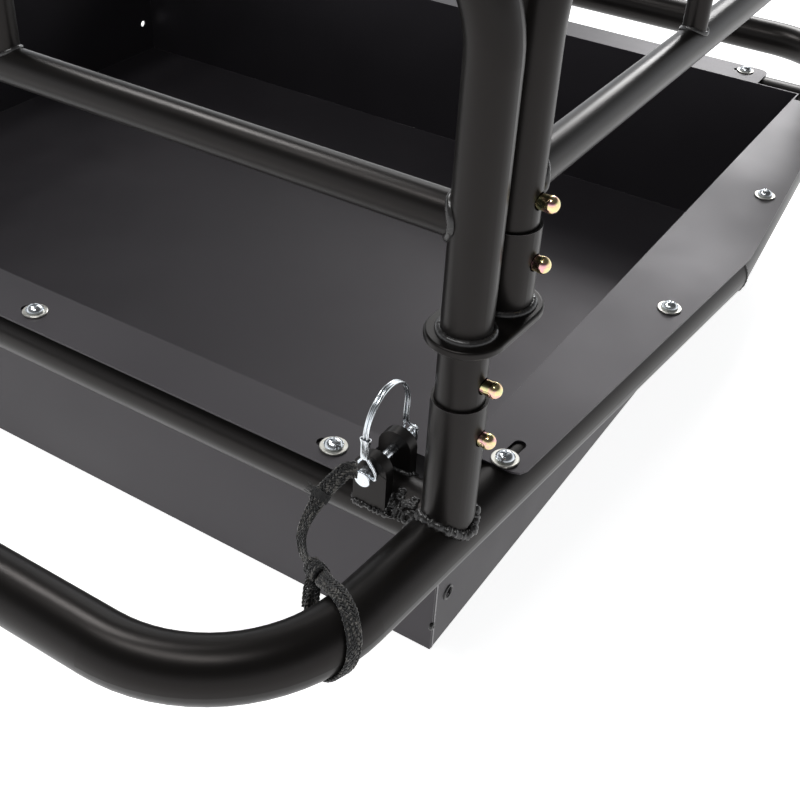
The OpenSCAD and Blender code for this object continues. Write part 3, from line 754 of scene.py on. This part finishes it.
def lug_foot(centre_x, y_low, y_high, half):
    """The outline of a lug's foot on the round back of the cross tube."""
    corners = [(-half, y_low), (half, y_low), (half, y_high), (-half, y_high), (-half, y_low)]
    line = []
    for (x0, y0), (x1, y1) in zip(corners, corners[1:]):
        for k in range(16):
            line.append(tube_back(centre_x + x0 + (x1 - x0) * k / 16, y0 + (y1 - y0) * k / 16))
    return line


def smear(centre_x, centre_y, half_x, half_y, count=28):
    """An oval of weld metal that lies on the cross tube's back."""
    turns = [2 * math.pi * k / count for k in range(count)]
    return [tube_back(centre_x + half_x * math.cos(turn), centre_y + half_y * math.sin(turn))
            for turn in turns]


# %% Geometry tree: weld bead
def build_bead():
    tree = bpy.data.node_groups.new("weld_bead", "GeometryNodeTree")
    times, plus, minus, over, sine = maths(tree)
    tree_inputs(tree, [
        ("Geometry", "Geometry", None), ("Step", "Float", 0.5 * MM), ("Ripple", "Float", 2.9 * MM),
        ("Spatter", "Float", 300.0), ("Shake", "Float", 3.0 * MM), ("Material", "Material", None)])
    tree_outputs(tree, [("Geometry", "Geometry")])
    start = add(tree, "NodeGroupInput").outputs
    curve = add(tree, "GeometryNodeMeshToCurve", {0: start["Geometry"]}).outputs[0]
    even = add(tree, "GeometryNodeResampleCurve", {"Curve": curve, "Length": start["Step"]}, mode="LENGTH")
    size = add(tree, "GeometryNodeInputNamedAttribute", {"Name": "bead"}, data_type="FLOAT").outputs[0]
    lumps = add(tree, "GeometryNodeInputNamedAttribute", {"Name": "lumps"}, data_type="FLOAT").outputs[0]
    along = add(tree, "GeometryNodeSplineParameter").outputs["Length"]
    wave = sine(times(over(along, start["Ripple"]), math.pi))
    puddle = minus(number(tree, "ABSOLUTE", wave), 0.5)
    noise = add(tree, "ShaderNodeTexNoise", {"Scale": start["Spatter"], "Detail": 2.0}).outputs[0]
    rough = plus(times(puddle, 0.3), times(minus(noise, 0.5), 2.6))
    swell = plus(times(rough, lumps), 1.0)
    profile = add(tree, "GeometryNodeCurvePrimitiveCircle", {"Resolution": 12, "Radius": 1.0})
    swept = add(tree, "GeometryNodeCurveToMesh",
                {"Curve": even.outputs[0], "Profile Curve": profile.outputs[0],
                 "Scale": times(size, swell), "Fill Caps": True})
    real = add(tree, "GeometryNodeRealizeInstances", {0: swept.outputs[0]})
    knobs = add(tree, "ShaderNodeTexNoise", {"Scale": times(start["Spatter"], 1.7)})
    shake = vector(tree, "SCALE", vector(tree, "SUBTRACT", knobs.outputs["Color"], (0.5, 0.5, 0.5)),
                   times(start["Shake"], lumps))
    shaken = add(tree, "GeometryNodeSetPosition", {0: real.outputs[0], "Offset": shake})
    return dressed(tree, shaken)


weld_bead = build_bead()


def beads(name, lines):
    """All the beads of one body in one mesh. Each line is (points, bead radius, lumps), and it closes."""
    points, edges, sizes, lumps = [], [], [], []
    for line, size, lump in lines:
        first, count = len(points), len(line)
        points += [tuple(point) for point in line]
        edges += [(first + i, first + (i + 1) % count) for i in range(count)]
        sizes += [size] * count
        lumps += [lump] * count
    mesh = bpy.data.meshes.new(name)
    mesh.from_pydata(points, edges, [])
    mesh.attributes.new("bead", "FLOAT", "POINT").data.foreach_set("value", sizes)
    mesh.attributes.new("lumps", "FLOAT", "POINT").data.foreach_set("value", lumps)
    piece = grow(name, mesh, weld_bead, {"Material": weld_paint}, 60)
    print(name, len(piece.data.polygons), "faces")
    return piece


# %% The frame's beads
SOCKET_R = span("near_right_socket", 0) / 2
ROUGH_BEAD = (3.2 * MM, 0.6)
PLAIN_BEAD = (2.6 * MM, 0.07)
SMALL_BEAD = (1.7 * MM, 0.07)
LUG_BEAD = (1.9 * MM, 0.8)
LUG_THICK = 8 * MM
SMEARS, PATCH_X, PATCH_Y = 16, 445, -403
frame_lines = []
for sx in (1, -1):
    for sy in (1, -1):
        foot = Vector((sx * CORNER.x, sy * CORNER.y, RING_Z))
        run = Vector((-sx * math.sin(SIDE_SPLAY), sy * -math.cos(SIDE_SPLAY), 0))
        frame_lines.append((saddle(foot, UP, SOCKET_R, foot, run, RING_R), *ROUGH_BEAD))
        cross_y = middle("near_cross_tube").y * (1 if sy > 0 else -1)
        cross = Vector((foot.x + sx * math.tan(SIDE_SPLAY) * abs(cross_y - foot.y), cross_y, RING_Z))
        frame_lines.append((saddle(cross, -sx * EAST, RING_R * 0.995, cross, run, RING_R), 2.4 * MM, 0.4))
    half_way = Vector((sx * (CORNER.x + abs(CORNER.y) * math.tan(SIDE_SPLAY)), 0, RING_Z))
    frame_lines.append((circle(half_way, NORTH, RING_R), 0.9 * MM, 0.3))
    pair_low, pair_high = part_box("right_lugs")
    for y_low in (pair_low[1], pair_high[1] - LUG_THICK):
        outline = lug_foot(sx * middle("right_lugs").x, y_low, y_low + LUG_THICK, span("right_lugs", 0) / 2)
        frame_lines.append((outline, *LUG_BEAD))
    drops = random.Random(21)
    for _ in range(SMEARS):
        x, y = PATCH_X + drops.uniform(-8, 7), PATCH_Y + drops.uniform(-7, 6)
        oval = smear(sx * x * MM, y * MM, drops.uniform(0.8, 3) * MM, drops.uniform(0.6, 1.6) * MM)
        frame_lines.append((oval, drops.uniform(0.9, 1.6) * MM, 0.5))
welds = {"frame": beads("frame_welds", frame_lines)}


# %% The gates' beads
def gate_beads(gate, along, across):
    """Beads of one gate: its rail's ends, and both ends of each spindle."""
    rail, hoop, spindles = (middle(gate + part) for part in ("_rail", "_hoop", "_spindles"))
    axis = 0 if along is EAST else 1
    rail_r = span(gate + "_rail", 2) / 2
    post_r = span(gate + "_hoop", 1 - axis) / 2
    spindle_r = span(gate + "_spindles", 1 - axis) / 2
    bar = Vector((hoop.x, hoop.y, high(gate + "_hoop", 2) - post_r))
    lines = []
    for way in (1, -1):
        post = hoop + along * way * (span(gate + "_hoop", axis) / 2 - post_r)
        end = Vector((post.x, post.y, rail.z))
        lines.append((saddle(end, -way * along, rail_r, end, UP, post_r), *PLAIN_BEAD))
        spindle = spindles + along * way * (span(gate + "_spindles", axis) / 2 - spindle_r)
        foot = Vector((spindle.x, spindle.y, rail.z))
        head = Vector((spindle.x, spindle.y, bar.z))
        lines.append((saddle(foot, UP, spindle_r, foot, along, rail_r), *SMALL_BEAD))
        lines.append((saddle(head, -UP, spindle_r, head, along, post_r), *SMALL_BEAD))
    return lines


for gate in ("near_gate", "far_gate"):
    lines = gate_beads(gate, EAST, NORTH)
    sign = -1 if gate == "near_gate" else 1
    plate_top, plate_foot = high(gate + "_plates", 2), low(gate + "_plates", 2)
    for sx in (1, -1):
        post = Vector((sx * CORNER.x, sign * abs(CORNER.y), 0))
        sleeve = Vector((sx * high("right_gate_rail", 0) - sx * span("right_gate_rail", 0) / 2,
                         sign * (high("right_gate_hoop", 1) - span("right_gate_hoop", 0) / 2), plate_top))
        post_r = span(gate + "_hoop", 1) / 2
        lines.append((circle(post + UP * plate_top, UP, post_r + 0.4 * MM), *PLAIN_BEAD))
        lines.append((circle(post + UP * plate_foot, UP, post_r + 0.4 * MM), *PLAIN_BEAD))
        lines.append((circle(sleeve, UP, SOCKET_R + 0.2 * MM), *PLAIN_BEAD))
    welds[gate] = beads(gate + "_welds", lines)
for gate in ("right_gate", "left_gate"):
    welds[gate] = beads(gate + "_welds", gate_beads(gate, NORTH, EAST))

# %% [markdown]
# ## Turned parts
# Screws, pins and buttons are turned on a lathe, and Blender's spin does the same: it takes half an outline
# and turns it around an axis. The outline is a list of (distance along the axis, radius) in millimetres.


# %% Lathe
def lathe(outline, sides=48):
    """A closed turned shape around Z, from (height, radius) points in millimetres."""
    shape = bmesh.new()
    points = [shape.verts.new((radius * MM, 0, height * MM)) for height, radius in outline]
    edges = [shape.edges.new(pair) for pair in zip(points, points[1:])]
    bmesh.ops.spin(shape, geom=points + edges, axis=(0, 0, 1), angle=2 * math.pi, steps=sides,
                   cent=(0, 0, 0), use_merge=True)
    bmesh.ops.remove_doubles(shape, verts=shape.verts, dist=1e-7)
    bmesh.ops.recalc_face_normals(shape, faces=shape.faces)
    return shape


def arc(centre, radius, start, end, steps):
    """Points of an arc in an outline: centre is (height, radius), and angles are from the axis."""
    turns = [math.radians(start + (end - start) * k / steps) for k in range(steps + 1)]
    return [(centre[0] + radius * math.cos(turn), centre[1] + radius * math.sin(turn)) for turn in turns]


# %% [markdown]
# ## Screws and washers
# The sixteen screws are all one screw. A pan head with a cross recess is turned and cut once, and a geometry
# tree puts a copy at each point, turned by a random angle with a fixed seed, as a fitter leaves them.


# %% One screw and one washer
def pan_head_screw():
    head = lathe([(0, 0), (0, 5.9), (0.35, 6.25), (1.3, 6.25)]
                 + arc((-1.2, 1.0), 5.6, 68, 0, 9)[:-1] + [(4.4, 0)], 56)
    piece = from_bmesh("screw_head", head, None, 30)
    cutter_shape = bmesh.new()
    for turn in (0, 90):
        spread = Matrix.Rotation(math.radians(turn), 4, "Z")
        blade = bmesh.ops.create_cube(cutter_shape, size=1)["verts"]
        for vert in blade:
            deep = vert.co.z < 0
            wide, thin = (2.2, 0.8) if deep else (6.4, 1.5)
            vert.co = spread @ Vector((vert.co.x * wide, vert.co.y * thin, 1.9 if deep else 5.4)) * MM
    cutter = from_bmesh("cutter", cutter_shape)
    cut = piece.modifiers.new("recess", "BOOLEAN")
    cut.operation = "DIFFERENCE"
    cut.object = cutter
    cut.use_self = True
    applied(piece)
    bpy.data.objects.remove(cutter)
    shank = lathe([(0.2, 0), (0.2, 3.0)] + [(-0.5 * k, 3.0 if k % 2 else 2.6) for k in range(1, 28)]
                  + [(-14, 2.2), (-14, 0)], 20)
    shank.from_mesh(piece.data)
    bpy.data.objects.remove(piece)
    return from_bmesh("screw", shank, bright_zinc, 32)


def washer():
    thick, hole, rim = 1.4, 3.3, 8.9
    ring = [(0, hole), (0, rim - 0.25), (0.25, rim), (thick - 0.3, rim), (thick, rim - 0.35), (thick, hole)]
    shape = lathe(ring + ring[:1], 56)
    return from_bmesh("washer", shape, washer_zinc, 30)


# %% Geometry tree: one part at every point
def build_scatter():
    tree = bpy.data.node_groups.new("fitted_parts", "GeometryNodeTree")
    tree_inputs(tree, [
        ("Geometry", "Geometry", None), ("Part", "Object", None), ("Most turn", "Float", math.pi),
        ("Seed", "Int", 7), ("Material", "Material", None)])
    tree_outputs(tree, [("Geometry", "Geometry")])
    start = add(tree, "NodeGroupInput").outputs
    part = add(tree, "GeometryNodeObjectInfo", {"Object": start["Part"]})
    turn = add(tree, "FunctionNodeRandomValue",
               {"Min": 0.0, "Seed": start["Seed"]}, data_type="FLOAT")
    tree.links.new(start["Most turn"], turn.inputs[3])
    spin = add(tree, "ShaderNodeCombineXYZ", {2: turn.outputs[1]}).outputs[0]
    placed = add(tree, "GeometryNodeInstanceOnPoints",
                 {"Points": start["Geometry"], "Instance": part.outputs["Geometry"], "Rotation": spin})
    real = add(tree, "GeometryNodeRealizeInstances", {0: placed.outputs[0]})
    return dressed(tree, real)


fitted_parts = build_scatter()


def separate_solids(node):
    """Low and high corners of each loose solid in a node."""
    shape = bmesh.new()
    shape.from_mesh(frame["nodes"][node].data)
    bmesh.ops.remove_doubles(shape, verts=shape.verts, dist=2e-6)
    seen, solids = set(), []
    for first in shape.verts:
        if first in seen:
            continue
        group, todo = [], [first]
        seen.add(first)
        while todo:
            vert = todo.pop()
            group.append(vert.co.copy())
            for edge in vert.link_edges:
                other = edge.other_vert(vert)
                if other not in seen:
                    seen.add(other)
                    todo.append(other)
        solids.append(([min(co[i] for co in group) for i in range(3)],
                       [max(co[i] for co in group) for i in range(3)]))
    shape.free()
    return solids


def fitted(name, part, node, material):
    """Copies of part on the underside of each washer, in place of a CAD node's solids."""
    mesh = bpy.data.meshes.new(name)
    places = [((a[0] + b[0]) / 2, (a[1] + b[1]) / 2, a[2]) for a, b in separate_solids("tray_washers")]
    lift = 0.0 if node == "tray_washers" else span("tray_washers", 2)
    mesh.from_pydata([(x, y, z + lift) for x, y, z in places], [], [])
    piece = grow(name, mesh, fitted_parts, {"Part": part, "Seed": 11, "Material": material}, 32)
    bpy.data.objects.remove(part)
    print(name, len(places), "places")
    return piece


stands_for["tray_screws"] = (fitted("tray_screws_cut", pan_head_screw(), "tray_screws", bright_zinc),
                             "frame", "bright_zinc")
stands_for["tray_washers"] = (fitted("tray_washers_cut", washer(), "tray_washers", washer_zinc),
                              "frame", "bright_zinc")

# %% [markdown]
# ## Snap buttons
# A button is turned from one blank: a neck that slides in the tube's hole, and a ball a little wider than the
# neck that a thumb can press. Two of them are riveted to a strip of spring steel inside the post.


# %% The eight clips' buttons
BALL_R, NECK_R = 4.8, 4.25
STRIP_THICK = 0.8 * MM
LEAF_DROP, LEAF_RISE = 12 * MM, 8 * MM
RIVET = [(0, 0), (0, 2.6), (0.5, 2.2), (0.7, 0)]


def snap_button(length):
    neck = [(0, 0), (0, NECK_R), (length - 2.1 * BALL_R, NECK_R), (length - 1.75 * BALL_R, NECK_R + 0.15)]
    return lathe(neck + arc((length - BALL_R, 0), BALL_R, 112, 0, 14)[:-1] + [(length, 0)], 40)


def clip_pieces(node):
    """Two buttons, their rivets and the strip, at the place of a CAD clip."""
    box_low, box_high = corners(node)
    outward = 1 if box_high.x > 0 else -1
    inner = box_low.x if outward > 0 else box_high.x
    tip = box_high.x if outward > 0 else box_low.x
    face = inner + outward * STRIP_THICK
    length = abs(tip - face) / MM
    turn = Matrix.Rotation(outward * math.pi / 2, 4, "Y")
    centre_y = (box_low.y + box_high.y) / 2
    shape = bmesh.new()
    back = turn @ Matrix.Rotation(math.pi, 4, "X")
    for height in (box_low.z + LEAF_DROP, box_high.z - LEAF_RISE):
        for part, start, way in ((snap_button(length), face, turn), (lathe(RIVET, 24), inner, back)):
            mesh = bpy.data.meshes.new("part")
            part.transform(Matrix.Translation((start, centre_y, height)) @ way)
            part.to_mesh(mesh)
            part.free()
            shape.from_mesh(mesh)
            bpy.data.meshes.remove(mesh)
    strip = bmesh.ops.create_cube(shape, size=1)["verts"]
    for vert in strip:
        vert.co = Vector((inner + outward * STRIP_THICK * (vert.co.x + 0.5),
                          centre_y + vert.co.y * (box_high.y - box_low.y) * 0.83,
                          (box_low.z + box_high.z) / 2 + vert.co.z * (box_high.z - box_low.z)))
    bmesh.ops.recalc_face_normals(shape, faces=shape.faces)
    return from_bmesh(node + "_turned", shape, yellow_zinc, 40)


for gate_side in ("near_right", "near_left", "far_right", "far_left",
                  "right_near", "right_far", "left_near", "left_far"):
    node = gate_side + "_buttons"
    stands_for[node] = (clip_pieces(node), gate_side + "_clip", "yellow_zinc")

# %% [markdown]
# ## Wire-lock pins
# A wire-lock pin is a turned pin with a spring wire through its head. The wire's two halves run side by side
# in a crimped ferrule, arch over the lugs, and part to snap over the pin's tip.

# %% The pin itself: a sawn head, a shank and a grooved tip
pin_low, pin_high = corners("right_lock_pin")
pin_length = (pin_high.y - pin_low.y) / MM
head_r, shank_r, head_l, groove = 5.4, 3.2, 8.0, 7.2
pin_outline = (
    [(0, 0), (0, head_r - 0.7)] + arc((0.6, head_r - 0.6), 0.6, 180, 90, 4) + [(head_l - 0.4, head_r)]
    + [(head_l, head_r - 0.4), (head_l, shank_r)]
    + [(pin_length - groove - 1.4, shank_r), (pin_length - groove - 0.8, shank_r - 0.5),
       (pin_length - groove + 0.8, shank_r - 0.5), (pin_length - groove + 1.4, shank_r)]
    + [(pin_length - 1.4, shank_r)]
    + arc((pin_length - 1.4, shank_r - 1.4), 1.4, 90, 0, 5) + [(pin_length, 0)])
pin_shape = lathe(pin_outline, 56)
pin_shape.transform(Matrix.Translation((PIN.x, pin_low.y, PIN.z)) @ Matrix.Rotation(-math.pi / 2, 4, "X"))
right_pin = from_bmesh("right_lock_pin_turned", pin_shape, bright_zinc, 32)


def stand_on_both_sides(node, look, piece, body):
    """The right piece and its mirror image stand for the right node and the left one."""
    stands_for["right_" + node] = (piece, "right_" + body, "bright_zinc")
    stands_for["left_" + node] = (mirrored(piece, "left_" + look), "left_" + body, "bright_zinc")


stand_on_both_sides("lock_pin", "lock_pin_turned", right_pin, "pin")


# %% [markdown]
# ## The bail's wire
# Each half of the wire is a tube swept along a smooth line, from the pin's head to its tip.


# %% Wire
WIRE_R = 1.0 * MM
bail_low, bail_high = corners("right_pin_bail")
ferrule_low, ferrule_high = corners("right_pin_ferrule")
ferrule_mid = (ferrule_low + ferrule_high) / 2
hole_y = pin_low.y + 4 * MM
head_leg = head_r * MM + WIRE_R + 0.6 * MM
tip_leg = shank_r * MM + WIRE_R + 0.5 * MM
arch_half = 22.6 * MM
arch_y = ferrule_mid.y + arch_half
arch_z = ferrule_high.z
arch_rise = bail_high.z - WIRE_R - arch_z
prong_y = high("right_lugs", 1) + 9.5 * MM
bail_shape = bmesh.new()
for s in (1, -1):
    wire_x = s * WIRE_R * 1.05
    wire_points = [
        (s * 0.4 * MM, hole_y, PIN.z), (s * head_r * MM * 0.9, hole_y, PIN.z),
        (s * (head_leg - 0.2 * MM), hole_y - 0.1 * MM, PIN.z + 0.9 * MM),
        (s * (head_leg + 0.1 * MM), hole_y - 0.2 * MM, PIN.z + 4 * MM),
        (s * head_leg * 0.75, hole_y - 0.7 * MM, PIN.z + 8.5 * MM),
        (wire_x, ferrule_mid.y, ferrule_low.z + 1.0 * MM), (wire_x, ferrule_mid.y, ferrule_mid.z)]
    arch = [(wire_x, arch_y - arch_half * math.cos(t), arch_z + arch_rise * math.sin(t))
            for t in (math.pi * k / 14 for k in range(15))]
    prong = [(wire_x * 1.3, arch_y + arch_half - 0.2 * MM, PIN.z + 14 * MM),
             (s * tip_leg * 0.9, prong_y, PIN.z + 6 * MM), (s * tip_leg, prong_y, PIN.z + 2 * MM),
             (s * tip_leg, prong_y, PIN.z - 3 * MM)]
    line = [Vector((PIN.x, 0, 0)) + Vector(point) for point in wire_points + arch + prong]
    swept_tube(spline(line, 5), WIRE_R, 14, bail_shape)
right_bail = from_bmesh("right_pin_bail_wire", bail_shape, bright_zinc, 50)
stand_on_both_sides("pin_bail", "pin_bail_wire", right_bail, "bail")

# %% Ferrule: a sleeve squeezed flat, with two lips that flare around the wires
FERRULE_SIDES = 40
ferrule_levels = [(0, 2.5, 1.7), (0.1, 2.9, 2.0), (0.35, 3.0, 1.75), (0.6, 3.0, 1.7), (0.8, 3.15, 1.75),
                  (0.93, 3.5, 2.1), (1.0, 3.6, 2.3)]
ferrule_shape = bmesh.new()
walls = []
for wall in (0.0, 0.45):
    rings = []
    for level, half_x, half_y in ferrule_levels:
        z = ferrule_low.z + (ferrule_high.z - ferrule_low.z) * level
        ring = []
        for k in range(FERRULE_SIDES):
            turn = 2 * math.pi * k / FERRULE_SIDES
            cos, sin = math.cos(turn), math.sin(turn)
            waist = 1 - 0.22 * math.cos(turn * 2 + math.pi)**2 * (level > 0.2)
            x = math.copysign(abs(cos)**0.75, cos) * (half_x - wall)
            y = math.copysign(abs(sin)**0.75, sin) * (half_y * waist - wall)
            ring.append(ferrule_shape.verts.new((ferrule_mid.x + x * MM, ferrule_mid.y + y * MM, z)))
        rings.append(ring)
    walls.append(rings)
for k in range(FERRULE_SIDES):
    n = (k + 1) % FERRULE_SIDES
    for outer_a, outer_b, inner_a, inner_b in zip(walls[0], walls[0][1:], walls[1], walls[1][1:]):
        ferrule_shape.faces.new((outer_a[k], outer_a[n], outer_b[n], outer_b[k]))
        ferrule_shape.faces.new((inner_b[k], inner_b[n], inner_a[n], inner_a[k]))
    for end in (0, -1):
        outer, inner = walls[0][end], walls[1][end]
        ferrule_shape.faces.new((outer[k], outer[n], inner[n], inner[k]))
bmesh.ops.recalc_face_normals(ferrule_shape, faces=ferrule_shape.faces)
right_ferrule = from_bmesh("right_pin_ferrule_crimped", ferrule_shape, bright_zinc, 50)
stand_on_both_sides("pin_ferrule", "pin_ferrule_crimped", right_ferrule, "bail")

# %% [markdown]
# ## Light and floor
# The rack stands on a pale floor under soft studio light. A dark satin tube shows its shape by what it
# reflects, so the surroundings matter more than the lamps: they are bright at the horizon and darker above.

# %% World, lamps and floor
world = bpy.data.worlds.new("studio")
bpy.context.scene.world = world
world.use_nodes = True
sky = world.node_tree
direction = add(sky, "ShaderNodeTexCoord").outputs["Generated"]
height = add(sky, "ShaderNodeSeparateXYZ", {0: direction}).outputs[2]
fade = add(sky, "ShaderNodeMapRange", {"Value": height, "From Min": 0.1, "From Max": 0.5,
                                       "To Min": 1.4, "To Max": 0.08}).outputs[0]
sky.links.new(fade, sky.nodes["Background"].inputs["Strength"])
sky.nodes["Background"].inputs["Color"].default_value = (0.95, 0.97, 1.0, 1)


def lamp(name, place, target, width, height, power):
    data = bpy.data.lights.new(name, "AREA")
    data.shape = "RECTANGLE"
    data.size = width
    data.size_y = height
    data.energy = power
    piece = bpy.data.objects.new(name, data)
    piece.location = place
    piece.rotation_euler = (Vector(target) - Vector(place)).to_track_quat("-Z", "Y").to_euler()
    bpy.context.scene.collection.objects.link(piece)


lamp("top", (-0.85, 0.0, 1.9), (0.3, -0.3, 0.2), 0.45, 0.45, 15)
lamp("back", (-0.75, 2.1, 1.9), (0.2, -0.1, 0.1), 1.4, 1.0, 11)
lamp("north", (0.0, 2.3, 1.35), (0.5, 0.0, 0.16), 0.8, 0.8, 24)
lamp("front", (0.15, -0.8, 1.5), (0.15, -0.79, 0.16), 1.0, 0.25, 8)

floor_finish, floor_tree, floor_surface = material("pale_floor", (0.9, 0.9, 0.9))
floor_place = add(floor_tree, "ShaderNodeTexCoord").outputs["Object"]
floor_noise = add(floor_tree, "ShaderNodeTexNoise", {"Vector": floor_place, "Scale": 3.0, "Detail": 3.0})
floor_tone = add(floor_tree, "ShaderNodeMix", {0: floor_noise.outputs[0], 6: (0.86, 0.86, 0.86, 1),
                                               7: (0.9, 0.9, 0.9, 1)}, data_type="RGBA")
floor_tree.links.new(floor_tone.outputs[2], floor_surface.inputs["Base Color"])
floor_surface.inputs["Roughness"].default_value = 0.6
floor_surface.inputs["Emission Color"].default_value = (1, 1, 1, 1)
floor_surface.inputs["Emission Strength"].default_value = 0.85
floor_shape = bmesh.new()
bmesh.ops.create_grid(floor_shape, x_segments=1, y_segments=1, size=8)
floor = from_bmesh("floor", floor_shape, floor_finish)

# %% [markdown]
# ## Hang each piece on its body
# Most pieces ride on a CAD body, so they move with it, and the CAD node that a piece stands for is hidden.
# The laces, their sewn ends and the whipping are only baked in place.

# %% Rides and cords
for side, sign in (("right", 1), ("left", -1)):
    lace = laces[side]
    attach(knots[side], "frame")
    for piece in (lace, tails[side], whips[side]):
        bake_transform(piece)
    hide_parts(side + "_lanyard")

for node, (piece, body, finish_slot) in stands_for.items():
    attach(piece, body)
    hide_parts(node)
for body, piece in welds.items():
    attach(piece, body)
for piece in (seam_piece, lip_piece):
    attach(piece, "frame")
